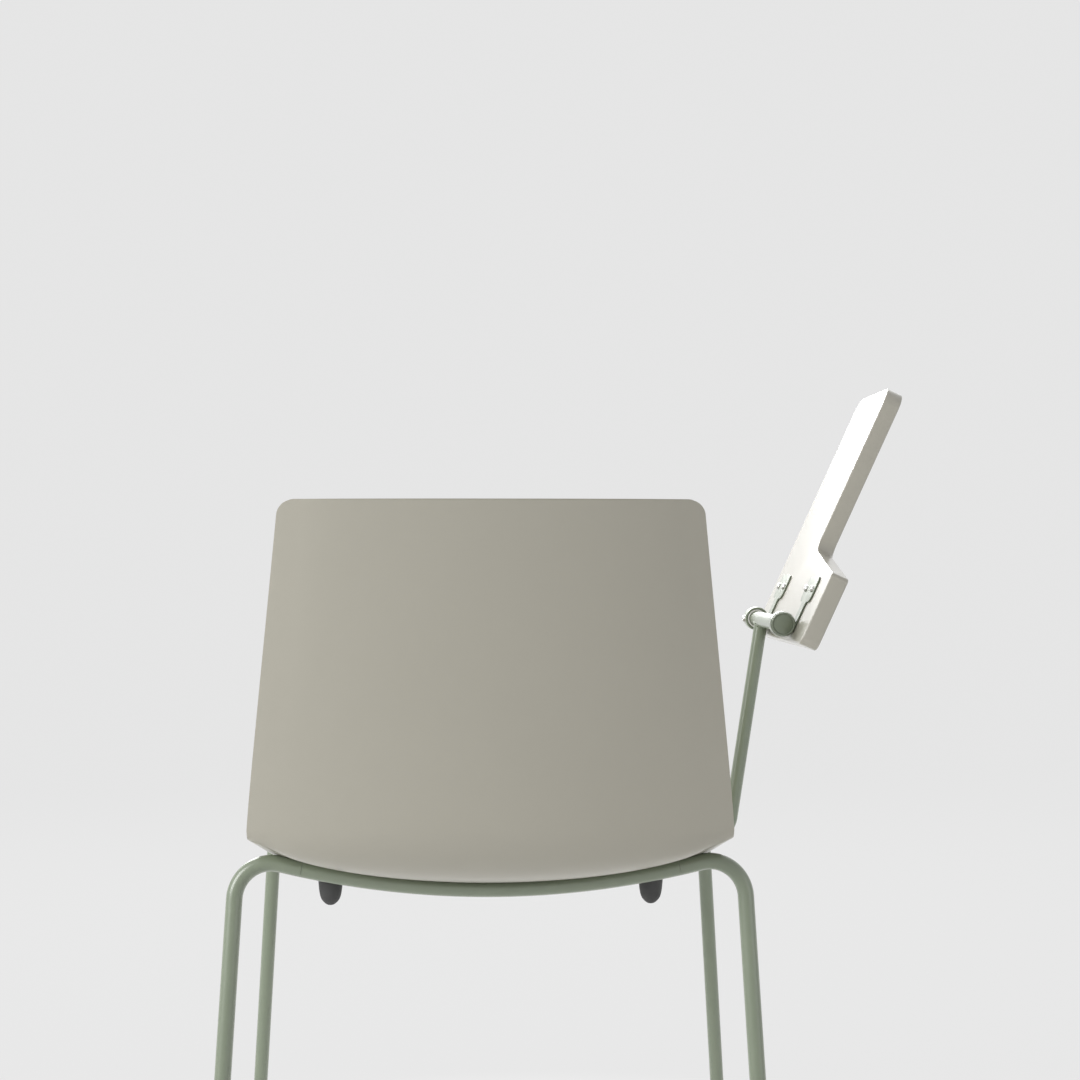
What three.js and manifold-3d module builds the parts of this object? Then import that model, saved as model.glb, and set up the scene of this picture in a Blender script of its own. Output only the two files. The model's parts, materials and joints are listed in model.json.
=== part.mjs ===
// Nesting chair with a fold-up writing tablet. Lengths are in millimetres, angles in degrees.
// It is worked out with x to the sitter's right, y forward and z up, and turned to face -Y at the end.
import * as THREE from "three";
import { mergeVertices } from "three/addons/utils/BufferGeometryUtils.js";
import Module from "manifold-3d";

const wasm = await Module();
wasm.setup();

// Clearances
const gap = 0.3; // between parts that touch
const shellRest = 0.5; // shell above the crossbars

// Frame tubes
const frameTube = 16;
const frameWall = 1.8;
const bendRadius = 27.5;

// Seat shell, over the underside
const shellThickness = 5;
const seatHalf = 230.7; // half width at the bend
const seatBulge = 3; // extra half width half way along the seat
const seatTaper = 6; // lost half width at the seat's front
const dishRear = 31; // rise from the middle to the edge, rear
const dishFront = 3.2;
const dishFade = 145; // distance over which the dish flattens
const edgeLift = 12; // turned-up edge on top of the dish
const seatRise = 9.5; // middle line, rear to front
const lipStart = 420;
const lipRadius = 35;
const lipAngle = 60;
const frontCorner = 40;
const bendRadiusMiddle = 65;
const bendRadiusEdge = 11;
const backRear = -43; // rearmost line of the bend, at the middle
const backTop = 797;
const backCrown = 1;
const backArc = 1260; // radius of the back's lean
const backBow = 30; // how far the back's edges come forward
const backTaper = 32.5; // lost half width at the top
const backCorner = 16;
const taperShare = 1.05;
const riseShare = 1.15;

// Rear legs
const rearBarY = 32;
const rearBarZ = 423.2;
const rearLegBeside = 15.3; // leg's top beyond the seat's half width
const rearLegSplay = 20.5;
const rearLegTop = seatHalf + rearLegBeside;
const rearLegFoot = rearLegTop + rearLegSplay;
const rearLean = 8;

// Front legs
const frontBarY = 424;
const frontLegBeside = 20.3;
const frontLegSplay = 28.5;
const frontLegTop = seatHalf + frontLegBeside;
const frontLegFoot = frontLegTop + frontLegSplay;
const frontLean = 6;
const seamInside = 47.7; // butt joint of leg and crossbar, inside the seat's half width
const seamX = seatHalf - seamInside;

// Seat bars, screws and bumpers
const barInside = 73.7; // seat bar's middle inside the seat's half width
const barX = seatHalf - barInside;
const barWidth = 24;
const barThickness = 5;
const barTop = 436;
const bossY = [112, 318];
const bossDiameter = 16;
const screwShank = 5;
const screwHead = 9.5;
const screwHeadHeight = 2.8;
const screwLength = 12;
const socketWidth = 3;
const socketDepth = 1.4;
const bumperY = [54.5, 362];
const bumperDiameter = 24.4;
const bumperTip = 404.3;
const bumperNeck = 9.4;
const bumperBarb = 13;
const bumperBarbHeight = 4;

// Foot glides
const glideDiameter = 21;
const glideHeight = 25;
const glideFloor = 6;
const glidePlug = 18;

// Tablet board, from its outer rear corner: v across, w forward
const boardThickness = 18;
const boardOver = 12.5; // outer edge to the axis
const boardRear = 0;
const boardEdge = 1.5;
const armRear = 75;
const armFront = 100.8;
const boardStep = 150;
const boardWidth = 287;
const boardLength = 308;
const cornerRadii = { outerRear: 8, armRear: 5, step: 18, innerRear: 20, innerFront: 19, outerFront: 25 };

// Tablet post and axle
const postTube = 14;
const postWall = 1.6;
const postInside = 102; // inside the board's front edge
const postY = boardRear + boardLength - postInside;
const postBeside = 23.3; // corner beyond the seat's half width
const postCornerX = seatHalf + postBeside;
const postCornerZ = 453;
const postRadius = 22;
const postSlope = 13;
const postOverBar = 4; // post's end beyond the seat bar's middle
const postEndX = barX + postOverBar;
const axisBeside = 58.6;
const axisX = seatHalf + axisBeside;
const axisZ = 678.5;
const axleTube = 16;
const axleWall = 2.5;

// Hinge
const barrelDiameter = 25;
const rearBarrel = [60.8, 75];
const barrelInside = 71; // front barrel's rear face, inside the board's front edge
const barrelLength = 18;
const barrelStart = boardRear + boardLength - barrelInside;
const frontBarrel = [barrelStart, barrelStart + barrelLength];
const stopInside = 8.5;
const stopY = barrelStart + stopInside;
const bushWall = 1.7;
const capDiameter = 23.4;
const capThickness = 2;
const capPlug = 2.6;
const capDish = 0.7;
const capRim = 2.7;
const stopShank = 4;
const stopHead = 8;
const stopSeat = 11.8; // spot face, from the axis
const stopTip = 5.9; // from the axis
const foldAngle = 65.2; // board above level when folded
const openAngle = 180;

// Hinge brackets
const plateThickness = 1.6;
const armDepth = 18;
const padDepth = 51;
const padStart = 42;
const padEnd = 70;
const padCorner = 7;
const padScrewSpan = 17;
const padScrewLength = 13;
const padScrewShank = 4;
const padScrewHead = 7.6;
const padScrewHeadHeight = 2.2;

// Colours
const sage = 0x7f8873;
const greige = 0xa8a494;
const charcoal = 0x404040;
const steel = 0xb8babb;
const white = 0xdededa;

// Steps round curves
const tubeSides = 18;
const turnedSides = 28;
const bendSteps = 8;
const barSteps = 10;
const acrossSteps = 22;
const backSteps = 10;
const shellBendSteps = 8;
const seatSteps = 11;
const cornerSteps = 5;
const rimSteps = 3;

// Profiles, as shares of radius and of height
const buttonShares = [[0, 1], [0.6, 1], [0.88, 0.55], [1, 0.12], [1, 0]];
const bumperShares = [[0, 0], [0.29, 0.03], [0.6, 0.15], [0.79, 0.3], [0.9, 0.53], [0.95, 0.75], [1, 1]];
const barbShare = 0.8;

const rad = THREE.MathUtils.degToRad;
const at = (x, y, z) => new THREE.Vector3(x, y, z);
const flat = (x, y) => new THREE.Vector2(x, y);
const across = at(1, 0, 0);
const forward = at(0, 1, 0);
const up = at(0, 0, 1);

// Bare geometry from points and faces, turned outward
function closed(points, faces) {
  let volume = 0;
  const cross = at(0, 0, 0);
  for (let i = 0; i < faces.length; i += 3) {
    const [a, b, c] = [points[faces[i]], points[faces[i + 1]], points[faces[i + 2]]];
    volume += a.dot(cross.crossVectors(b, c));
  }
  const index = volume < 0 ? [...faces].reverse() : faces;
  const geometry = new THREE.BufferGeometry();
  const flatPoints = points.flatMap((p) => [p.x, p.y, p.z]);
  geometry.setAttribute("position", new THREE.Float32BufferAttribute(flatPoints, 3));
  geometry.setIndex(index);
  return geometry;
}

// Skin over a row of rings: two tips close it, or without them the last ring joins the first
function skin(rings, tips) {
  const size = rings[0].length;
  const points = rings.flat();
  const faces = [];
  const joins = tips ? rings.length - 1 : rings.length;
  for (let i = 0; i < joins; i++) {
    const a = i * size;
    const b = ((i + 1) % rings.length) * size;
    for (let j = 0; j < size; j++) {
      const k = (j + 1) % size;
      faces.push(a + j, a + k, b + k, a + j, b + k, b + j);
    }
  }
  if (tips) {
    const start = points.length;
    const end = start - size;
    points.push(...tips);
    for (let j = 0; j < size; j++) {
      const k = (j + 1) % size;
      faces.push(start, k, j, start + 1, end + j, end + k);
    }
  }
  return closed(points, faces);
}

// Rings of one radius along a path
function ringsAlong(path, radius, firstSide) {
  let side = firstSide.clone();
  return path.map((point, i) => {
    const before = path[Math.max(i - 1, 0)];
    const after = path[Math.min(i + 1, path.length - 1)];
    const along = after.clone().sub(before).normalize();
    side = side.clone().addScaledVector(along, -side.dot(along)).normalize();
    const other = along.clone().cross(side);
    return Array.from({ length: tubeSides }, (_, j) => {
      const angle = (2 * Math.PI * j) / tubeSides;
      return point.clone().addScaledVector(side, radius * Math.cos(angle))
        .addScaledVector(other, radius * Math.sin(angle));
    });
  });
}

const rod = (path, radius, side) => skin(ringsAlong(path, radius, side), [path[0], path.at(-1)]);

function hollowTube(path, radius, wall, side) {
  const inside = ringsAlong(path, radius - wall, side).reverse();
  return skin([...ringsAlong(path, radius, side), ...inside]);
}

// Turned body about z. The profile lists [radius, height] and may start and end on the axis.
function turned(profile, sides = turnedSides) {
  const onAxis = profile[0][0] === 0;
  const rim = onAxis ? profile.slice(1, -1) : profile;
  const rings = rim.map(([radius, z]) => Array.from({ length: sides }, (_, j) => {
    const angle = (2 * Math.PI * j) / sides;
    return at(radius * Math.cos(angle), radius * Math.sin(angle), z);
  }));
  return skin(rings, onAxis ? [at(0, 0, profile[0][1]), at(0, 0, profile.at(-1)[1])] : null);
}

// A body turned about z, stood on a point and pointing along a direction
function stood(geometry, point, direction) {
  const turn = new THREE.Quaternion().setFromUnitVectors(up, direction.clone().normalize());
  return geometry.applyQuaternion(turn).translate(point.x, point.y, point.z);
}

const cylinder = (radius, from, to) => {
  const length = from.distanceTo(to);
  const profile = [[0, 0], [radius, 0], [radius, length], [0, length]];
  return stood(turned(profile), from, to.clone().sub(from));
};

const box = (low, high) => {
  const size = high.clone().sub(low);
  const middle = high.clone().add(low).multiplyScalar(1 / 2);
  return new THREE.BoxGeometry(size.x, size.y, size.z).translate(middle.x, middle.y, middle.z);
};

// Boolean bodies
function solid(geometry) {
  const bare = geometry.clone();
  bare.deleteAttribute("normal");
  bare.deleteAttribute("uv");
  const merged = mergeVertices(bare);
  return new wasm.Manifold(new wasm.Mesh({
    numProp: 3,
    vertProperties: Float32Array.from(merged.attributes.position.array),
    triVerts: Uint32Array.from(merged.index.array),
  }));
}

function shape(body) {
  const mesh = body.getMesh();
  const geometry = new THREE.BufferGeometry();
  const points = Float32Array.from(mesh.vertProperties);
  geometry.setAttribute("position", new THREE.BufferAttribute(points, 3));
  geometry.setIndex(new THREE.BufferAttribute(Uint32Array.from(mesh.triVerts), 1));
  return geometry;
}

const cut = (geometry, ...tools) =>
  shape(tools.reduce((body, tool) => body.subtract(solid(tool)), solid(geometry)));
const join = (geometry, ...others) =>
  shape(others.reduce((body, other) => body.add(solid(other)), solid(geometry)));

// Outline with each corner [x, y, radius] rounded
function rounded(corners, steps) {
  return corners.flatMap(([x, y, radius], i) => {
    const corner = flat(x, y);
    const before = corners.at(i - 1);
    const after = corners[(i + 1) % corners.length];
    const back = flat(before[0], before[1]).sub(corner).normalize();
    const on = flat(after[0], after[1]).sub(corner).normalize();
    const half = Math.acos(back.dot(on)) / 2;
    const middle = back.clone().add(on).normalize().multiplyScalar(radius / Math.sin(half));
    const centre = corner.clone().add(middle);
    const start = corner.clone().addScaledVector(back, radius / Math.tan(half)).sub(centre);
    const end = corner.clone().addScaledVector(on, radius / Math.tan(half)).sub(centre);
    const sweep = Math.PI - 2 * half;
    const way = Math.sign(start.cross(end));
    return Array.from({ length: steps + 1 }, (_, j) =>
      start.clone().rotateAround(flat(0, 0), (way * sweep * j) / steps).add(centre));
  });
}

// Flat plate between two heights, with its edges eased
function plate(outline, low, high, edge) {
  const settings = {
    depth: high - low - 2 * edge, steps: 1, curveSegments: 1, bevelEnabled: edge > 0,
    bevelThickness: edge, bevelSize: edge, bevelOffset: -edge, bevelSegments: 2,
  };
  return new THREE.ExtrudeGeometry(new THREE.Shape(outline), settings).translate(0, 0, low + edge);
}

// Underside of the seat at one place
const bellyZ = rearBarZ + frameTube / 2 + shellRest;
const bendEndY = backRear + bendRadiusMiddle;
function seatUnder(x, y) {
  const run = Math.max(y - bendEndY, 0) / (frontBarY - bendEndY);
  const dish = dishFront + (dishRear - dishFront) * Math.exp((bendEndY - y) / dishFade);
  const part = Math.abs(x) / seatHalf;
  return bellyZ + seatRise * run ** riseShare + dish * part ** 2 + edgeLift * part ** 7;
}

// The bend under the back for one share of the half width
function bendAt(share) {
  const x = share * seatHalf;
  const radius = bendRadiusMiddle + (bendRadiusEdge - bendRadiusMiddle) * share ** 2;
  const rear = backRear + backBow * share ** 2;
  let slope = 0;
  let endY = rear + radius;
  for (let i = 0; i < bendSteps; i++) {
    endY = rear + radius * (1 - Math.sin(slope));
    slope = Math.atan((seatUnder(x, endY - gap) - seatUnder(x, endY + gap)) / (2 * gap));
  }
  return { radius, rear, slope, endY, startZ: seatUnder(x, endY) + radius * Math.cos(slope) };
}

// Half width of the back and of the seat
function backHalf(z) {
  const bend = bendAt(1).startZ;
  const share = Math.max((z - bend) / (backTop - backCrown - bend), 0);
  const full = seatHalf - backTaper * share ** taperShare;
  const into = Math.max(z - (backTop - backCrown - backCorner), 0) / backCorner;
  return full - backCorner * (1 - Math.sqrt(Math.max(1 - into ** 2, 0)));
}

const lipLength = lipRadius * rad(lipAngle);
function seatHalfAt(along) {
  const share = THREE.MathUtils.clamp(along / lipStart, 0, 1);
  const full = seatHalf + seatBulge * Math.sin(Math.PI * share) - seatTaper * share ** 3;
  const into = Math.max(along - (lipStart + lipLength - frontCorner), 0) / frontCorner;
  return full - frontCorner * (1 - Math.sqrt(Math.max(1 - into ** 2, 0)));
}

// Underside of the back for one share across, at a share of the way down it
function backPoint(share, down) {
  const bend = bendAt(share);
  const top = backTop - backCrown * share ** 2;
  const edgeBend = bendAt(1).startZ;
  const edgeZ = backTop - backCrown + (edgeBend - backTop + backCrown) * down;
  const z = top + (bend.startZ - top) * down;
  const lean = backArc - Math.sqrt(backArc ** 2 - Math.max(z - bend.startZ, 0) ** 2);
  return at(share * backHalf(edgeZ), bend.rear - lean, z);
}

function bendPoint(share, turn) {
  const bend = bendAt(share);
  const angle = turn * (Math.PI / 2 - bend.slope);
  const y = bend.rear + bend.radius * (1 - Math.cos(angle));
  return at(share * seatHalf, y, bend.startZ - bend.radius * Math.sin(angle));
}

function seatPoint(share, along) {
  const start = bendAt(share).endY;
  const y = start + (lipStart - start) * Math.min(along / lipStart, 1);
  const x = share * seatHalfAt(along);
  const angle = Math.max(along - lipStart, 0) / lipRadius;
  const z = seatUnder(x, y) - lipRadius * (1 - Math.cos(angle));
  return at(x, y + lipRadius * Math.sin(angle), z);
}

// Rows of the shell's underside, from the top of the back to the front of the seat
function shellRows() {
  const rows = [];
  const shares = Array.from({ length: acrossSteps + 1 }, (_, i) => (2 * i) / acrossSteps - 1);
  const row = (point, value) => rows.push(shares.map((share) => point(share, value)));
  const backLength = backTop - backCrown - bendAt(1).startZ;
  const cornerPart = backCorner / backLength;
  for (let i = 0; i <= cornerSteps; i++) {
    row(backPoint, cornerPart * (1 - Math.cos((i / cornerSteps) * (Math.PI / 2))));
  }
  for (let i = 1; i <= backSteps; i++) row(backPoint, cornerPart + (1 - cornerPart) * (i / backSteps));
  for (let i = 1; i < shellBendSteps; i++) row(bendPoint, i / shellBendSteps);
  const seatEnd = lipStart + lipLength;
  const cornerStart = seatEnd - frontCorner;
  for (let i = 0; i <= seatSteps; i++) row(seatPoint, (cornerStart * i) / seatSteps);
  for (let i = cornerSteps + 1; i > 0; i--) {
    const left = 1 - Math.cos(((i - 1) / (cornerSteps + 1)) * (Math.PI / 2));
    row(seatPoint, seatEnd - frontCorner * left);
  }
  return rows;
}

// Rows moved square to their surface
function offsetRows(rows, distance) {
  return rows.map((row, i) => row.map((point, j) => {
    const down = rows[Math.min(i + 1, rows.length - 1)][j].clone().sub(rows[Math.max(i - 1, 0)][j]);
    const side = row[Math.min(j + 1, row.length - 1)].clone().sub(row[Math.max(j - 1, 0)]);
    return point.clone().addScaledVector(side.cross(down).normalize(), distance);
  }));
}

// Closed slab between two sheets of rows, with a rounded rim
function slab(under, over) {
  const [tall, wide] = [under.length, under[0].length];
  const loop = [];
  for (let j = 0; j < wide - 1; j++) loop.push([0, j]);
  for (let i = 0; i < tall - 1; i++) loop.push([i, wide - 1]);
  for (let j = wide - 1; j > 0; j--) loop.push([tall - 1, j]);
  for (let i = tall - 1; i > 0; i--) loop.push([i, 0]);
  const points = [...under.flat(), ...over.flat()];
  const count = under.flat().length;
  const faces = [];
  for (let i = 0; i < tall - 1; i++) {
    for (let j = 0; j < wide - 1; j++) {
      const [a, b, c, d] = [i * wide + j, i * wide + j + 1, (i + 1) * wide + j + 1, (i + 1) * wide + j];
      faces.push(a, b, c, a, c, d);
      faces.push(count + a, count + c, count + b, count + a, count + d, count + c);
    }
  }
  const bands = [loop.map(([i, j]) => i * wide + j)];
  for (let k = 1; k < rimSteps; k++) {
    const turn = (Math.PI * k) / rimSteps;
    bands.push(loop.map(([i, j], m) => {
      const low = under[i][j];
      const high = over[i][j];
      const [pi, pj] = loop.at(m - 1);
      const [ni, nj] = loop[(m + 1) % loop.length];
      const along = under[ni][nj].clone().sub(under[pi][pj]);
      const out = high.clone().sub(low).cross(along).normalize();
      const middle = low.clone().lerp(high, (1 - Math.cos(turn)) / 2);
      points.push(middle.addScaledVector(out, (shellThickness / 2) * Math.sin(turn)));
      return points.length - 1;
    }));
  }
  bands.push(loop.map(([i, j]) => count + i * wide + j));
  for (let k = 0; k < bands.length - 1; k++) {
    for (let m = 0; m < loop.length; m++) {
      const n = (m + 1) % loop.length;
      const [a, b, c, d] = [bands[k][m], bands[k][n], bands[k + 1][n], bands[k + 1][m]];
      faces.push(b, a, d, b, d, c);
    }
  }
  return closed(points, faces);
}

const screwSites = [-1, 1].flatMap((side) => bossY.map((y) => [side * barX, y]));
const bumperSites = [-1, 1].flatMap((side) => bumperY.map((y) => [side * barX, y]));
const barBottom = barTop - barThickness;

function seatShell() {
  const under = shellRows();
  const sheet = slab(under, offsetRows(under, shellThickness));
  const bosses = screwSites.map(([x, y]) => {
    const top = seatUnder(x, y) + shellThickness / 2;
    return cylinder(bossDiameter / 2, at(x, y, barTop + gap), at(x, y, top));
  });
  const holes = screwSites.map(([x, y]) => {
    const tip = barBottom - gap + screwLength + gap;
    return cylinder(screwShank / 2 + gap, at(x, y, barTop - gap), at(x, y, tip));
  });
  return cut(join(sheet, ...bosses), ...holes);
}

// Leg frames: one bent tube, foot to foot, leaning in its own plane
function barHeight(frame, x) {
  return frame.barZ + frame.dish * (x / seatHalf) ** 2;
}

function bendCentre(frame, x) {
  const slope = Math.atan((2 * frame.dish * x) / seatHalf ** 2);
  const side = flat(Math.sin(slope), -Math.cos(slope));
  return flat(x, barHeight(frame, x)).addScaledVector(side, bendRadius);
}

function halfPath(frame) {
  const top = flat(frame.legTop, frame.barZ + frame.dish);
  const foot = flat(frame.legFoot, frame.footZ);
  const along = foot.clone().sub(top).normalize();
  const out = flat(-along.y, along.x);
  let [low, high] = [0, frame.legTop];
  while (high - low > gap / 100) {
    const x = (low + high) / 2;
    if (top.clone().sub(bendCentre(frame, x)).dot(out) > bendRadius) low = x;
    else high = x;
  }
  const centre = bendCentre(frame, low);
  const start = flat(low, barHeight(frame, low)).sub(centre);
  const sweep = out.angle() - start.angle();
  const turn = Math.atan2(Math.sin(sweep), Math.cos(sweep));
  const points = Array.from({ length: barSteps }, (_, i) => {
    const x = (low * i) / barSteps;
    return flat(x, barHeight(frame, x));
  });
  for (let i = 0; i <= bendSteps; i++) {
    points.push(start.clone().rotateAround(flat(0, 0), (turn * i) / bendSteps).add(centre));
  }
  points.push(foot);
  return points;
}

const placed = (frame, point) =>
  at(point.x, frame.barY + frame.lean * (point.y - frame.barZ), point.y);

function legPath(frame) {
  const half = halfPath(frame).map((point) => placed(frame, point));
  const other = half.slice(1).reverse().map((point) => at(-point.x, point.y, point.z));
  return [...other, ...half];
}

const footZ = glideFloor + gap;
const rearFrame = {
  barY: rearBarY, barZ: rearBarZ, dish: dishRear, legTop: rearLegTop, legFoot: rearLegFoot,
  lean: Math.tan(rad(rearLean)), footZ,
};
const frontFrame = {
  barY: frontBarY, barZ: bellyZ + seatRise - shellRest - frameTube / 2 - gap,
  dish: dishFront, legTop: frontLegTop, legFoot: frontLegFoot, lean: -Math.tan(rad(frontLean)), footZ,
};
const frameReach = 2 * frontLegFoot;
const beyond = (from, to) =>
  box(at(from, -frameReach, -frameTube), at(to, frameReach, frameReach));
const frameRun = (frame) => hollowTube(legPath(frame), frameTube / 2, frameWall, forward);
const leftLeg = (frame) => cut(frameRun(frame), beyond(-seamX - gap / 2, frameReach));
const rightLeg = (frame) => cut(frameRun(frame), beyond(-frameReach, seamX + gap / 2));
const crossbar = (frame) => cut(frameRun(frame),
  beyond(-frameReach, gap / 2 - seamX), beyond(seamX - gap / 2, frameReach));

// Foot glide: a cup round the leg's end with a plug inside it, flat on the floor
function glide(frame, side) {
  const path = legPath(frame);
  const [foot, next] = side < 0 ? [path[0], path[1]] : [path.at(-1), path.at(-2)];
  const away = next.clone().sub(foot).normalize();
  const outer = glideDiameter / 2;
  const cup = frameTube / 2 + gap;
  const plug = frameTube / 2 - frameWall - gap;
  const floor = -gap;
  const profile = [
    [0, -glideFloor - outer], [outer, -glideFloor - outer], [outer, glideHeight - glideFloor],
    [cup, glideHeight - glideFloor], [cup, floor], [plug, floor], [plug, glidePlug], [0, glidePlug],
  ];
  const body = stood(turned(profile), foot, away);
  const reach = frameTube * 4;
  const ground = box(at(foot.x - reach, foot.y - reach, -reach), at(foot.x + reach, foot.y + reach, 0));
  return cut(body, ground);
}

// Flat seat bar between the crossbars, cut to their rounds
function seatBar(side) {
  const x = side * barX;
  const blank = box(at(x - barWidth / 2, rearBarY, barBottom), at(x + barWidth / 2, frontBarY, barTop));
  const ends = [rearFrame, frontFrame].map((frame) =>
    rod(legPath(frame), frameTube / 2 + gap, forward));
  const reach = at(0, 0, barThickness);
  const drill = ([px, py], radius) =>
    cylinder(radius, at(px, py, barBottom).sub(reach), at(px, py, barTop).add(reach));
  const mine = ([px]) => px === x;
  const holes = [
    ...screwSites.filter(mine).map((site) => drill(site, screwShank / 2 + gap)),
    ...bumperSites.filter(mine).map((site) => drill(site, bumperNeck / 2 + gap)),
  ];
  return cut(blank, ...ends, ...holes);
}

// Button-head screw, its head's flat side on a point, its shank pointing along a direction
function buttonScrew(point, direction, shank, length, head, headHeight) {
  const profile = [
    ...buttonShares.map(([wide, tall]) => [(wide * head) / 2, -tall * headHeight]),
    [shank / 2, 0], [shank / 2, length - shank / 4], [shank / 4, length], [0, length],
  ];
  const body = turned(profile, tubeSides);
  const key = new THREE.CylinderGeometry(socketWidth / 2, socketWidth / 2, 2 * socketDepth, 6)
    .rotateX(Math.PI / 2).translate(0, 0, -headHeight);
  return stood(cut(body, key), point, direction);
}

// Rubber stacking bumper, pushed up through the bar
function bumper(x, y) {
  const [wide, neck, barb] = [bumperDiameter / 2, bumperNeck / 2, bumperBarb / 2];
  const top = barBottom - gap;
  const height = top - bumperTip;
  const profile = [
    ...bumperShares.map(([radius, up]) => [radius * wide, bumperTip + up * height]),
    [neck, top], [neck, barTop + gap], [barb, barTop + gap],
    [neck * barbShare, barTop + gap + bumperBarbHeight], [0, barTop + gap + bumperBarbHeight],
  ];
  return turned(profile).translate(x, y, 0);
}

// Tablet post: slotted over the right seat bar, bent up beside the seat, cut to the axle's round
function postPath() {
  const corner = flat(postCornerX, postCornerZ);
  const inner = flat(postEndX, postCornerZ - (postCornerX - postEndX) * Math.tan(rad(postSlope)));
  const tip = flat(axisX, axisZ);
  const outline = rounded([[inner.x, inner.y, 0], [corner.x, corner.y, postRadius], [tip.x, tip.y, 0]],
    bendSteps);
  const bend = outline.slice(bendSteps + 1, 2 * bendSteps + 2);
  return [inner, ...bend, tip].map((point) => at(point.x, postY, point.y));
}

function tabletPost() {
  const path = postPath();
  const bar = box(
    at(barX - barWidth, rearBarY, barBottom - gap),
    at(barX + barWidth / 2 + gap, frontBarY, barTop + gap),
  );
  const axle = cylinder(axleTube / 2 + gap, at(axisX, rearBarrel[0], axisZ), at(axisX, frontBarrel[1], axisZ));
  return cut(hollowTube(path, postTube / 2, postWall, forward), bar, axle);
}

// Hinge axle, with the slot that stops the tablet
const onAxis = (y) => at(axisX, y, axisZ);
const capEnd = { rear: rearBarrel[0] - gap + capPlug, front: frontBarrel[1] + gap - capPlug };
function stopDirection(turn) {
  const angle = rad(180 + turn);
  return at(Math.cos(angle), 0, Math.sin(angle));
}

function slotCutter() {
  const half = stopShank / 2 + gap;
  const swing = openAngle - foldAngle;
  const reach = axleTube;
  const arc = Array.from({ length: bendSteps * 2 + 1 }, (_, i) =>
    stopDirection((swing * i) / (bendSteps * 2)).multiplyScalar(reach));
  const outline = [flat(0, 0), ...arc.map((point) => flat(point.x, -point.z))];
  const sector = plate(outline, -half, half, 0).rotateX(-Math.PI / 2);
  const ends = [0, swing].map((turn) => {
    const block = box(at(-half, -half, 0), at(half, half, reach));
    const basis = new THREE.Matrix4().makeBasis(
      stopDirection(turn).cross(forward).negate(), forward, stopDirection(turn));
    return block.applyMatrix4(basis);
  });
  return [sector, ...ends].map((piece) => piece.translate(axisX, stopY, axisZ));
}

function hingeAxle() {
  const path = [onAxis(capEnd.rear + gap), onAxis(capEnd.front - gap)];
  const tube = hollowTube(path, axleTube / 2, axleWall, across);
  return cut(tube, ...slotCutter());
}

// Tablet, in its own directions: v across the board, w forward, h off its underside
const tabletUp = at(Math.cos(rad(foldAngle)), 0, Math.sin(rad(foldAngle)));
const tabletOut = tabletUp.clone().cross(forward);
const underside = -(barrelDiameter / 2 + gap);
const tabletFrame = new THREE.Matrix4().makeBasis(tabletUp, forward, tabletOut).setPosition(onAxis(0));
const onTablet = (geometry) => geometry.applyMatrix4(tabletFrame);
const tabletPoint = (v, w, h) => at(v, w, h).applyMatrix4(tabletFrame);
const bracketMiddle = (barrel) => barrel[0] + armDepth / 2;
const plateTop = underside + gap + plateThickness;

function padScrews(barrel) {
  return [-1, 1].map((side) => [
    (padStart + padEnd) / 2 - boardOver, bracketMiddle(barrel) + side * padScrewSpan,
  ]);
}

function tabletBoard() {
  const r = cornerRadii;
  const corners = [
    [0, 0, r.outerRear], [armRear, 0, r.armRear], [armFront, boardStep, r.step],
    [boardWidth, boardStep, r.innerRear], [boardWidth, boardLength, r.innerFront],
    [0, boardLength, r.outerFront],
  ].map(([v, w, radius]) => [v - boardOver, w + boardRear, radius]);
  const board = plate(rounded(corners, cornerSteps), underside - boardThickness, underside, boardEdge);
  const holes = [rearBarrel, frontBarrel].flatMap(padScrews).map(([v, w]) => {
    const depth = padScrewLength - plateThickness;
    return cylinder(padScrewShank / 2 + gap, at(v, w, underside - depth), at(v, w, plateTop));
  });
  return cut(onTablet(board), ...holes.map(onTablet));
}

function bracket(barrel, stop) {
  const middle = bracketMiddle(barrel);
  const low = underside + gap;
  const body = cylinder(barrelDiameter / 2, at(0, barrel[0], 0), at(0, barrel[1], 0));
  const arm = box(at(0, barrel[0], low), at(padStart - boardOver + padCorner, barrel[0] + armDepth, plateTop));
  const half = padDepth / 2;
  const [near, far] = [padStart - boardOver, padEnd - boardOver];
  const pad = plate(rounded([
    [near, middle - half, padCorner], [far, middle - half, padCorner],
    [far, middle + half, padCorner], [near, middle + half, padCorner],
  ], cornerSteps), low, plateTop, 0);
  const bore = cylinder(axleTube / 2 + bushWall + 2 * gap,
    at(0, barrel[0] - gap, 0), at(0, barrel[1] + gap, 0));
  const holes = padScrews(barrel).map(([v, w]) =>
    cylinder(padScrewShank / 2 + gap, at(v, w, low - gap), at(v, w, plateTop + gap)));
  const whole = cut(join(onTablet(body), onTablet(arm), onTablet(pad)), onTablet(bore), ...holes.map(onTablet));
  return stop ? cut(whole, stopHole(stopShank / 2 + gap, 0), stopHole(stopHead / 2 + gap, stopSeat)) : whole;
}

function stopHole(radius, from) {
  const way = stopDirection(0);
  const start = onAxis(stopY).addScaledVector(way, from);
  return cylinder(radius, start, onAxis(stopY).addScaledVector(way, barrelDiameter));
}

function bush(from, to, stop) {
  const inner = axleTube / 2 + gap;
  const outer = inner + bushWall;
  const profile = [[inner, 0], [outer, 0], [outer, to - from], [inner, to - from]];
  const ring = stood(turned(profile), onAxis(from), forward);
  return stop ? cut(ring, stopHole(stopShank / 2 + gap, 0)) : ring;
}

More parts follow.
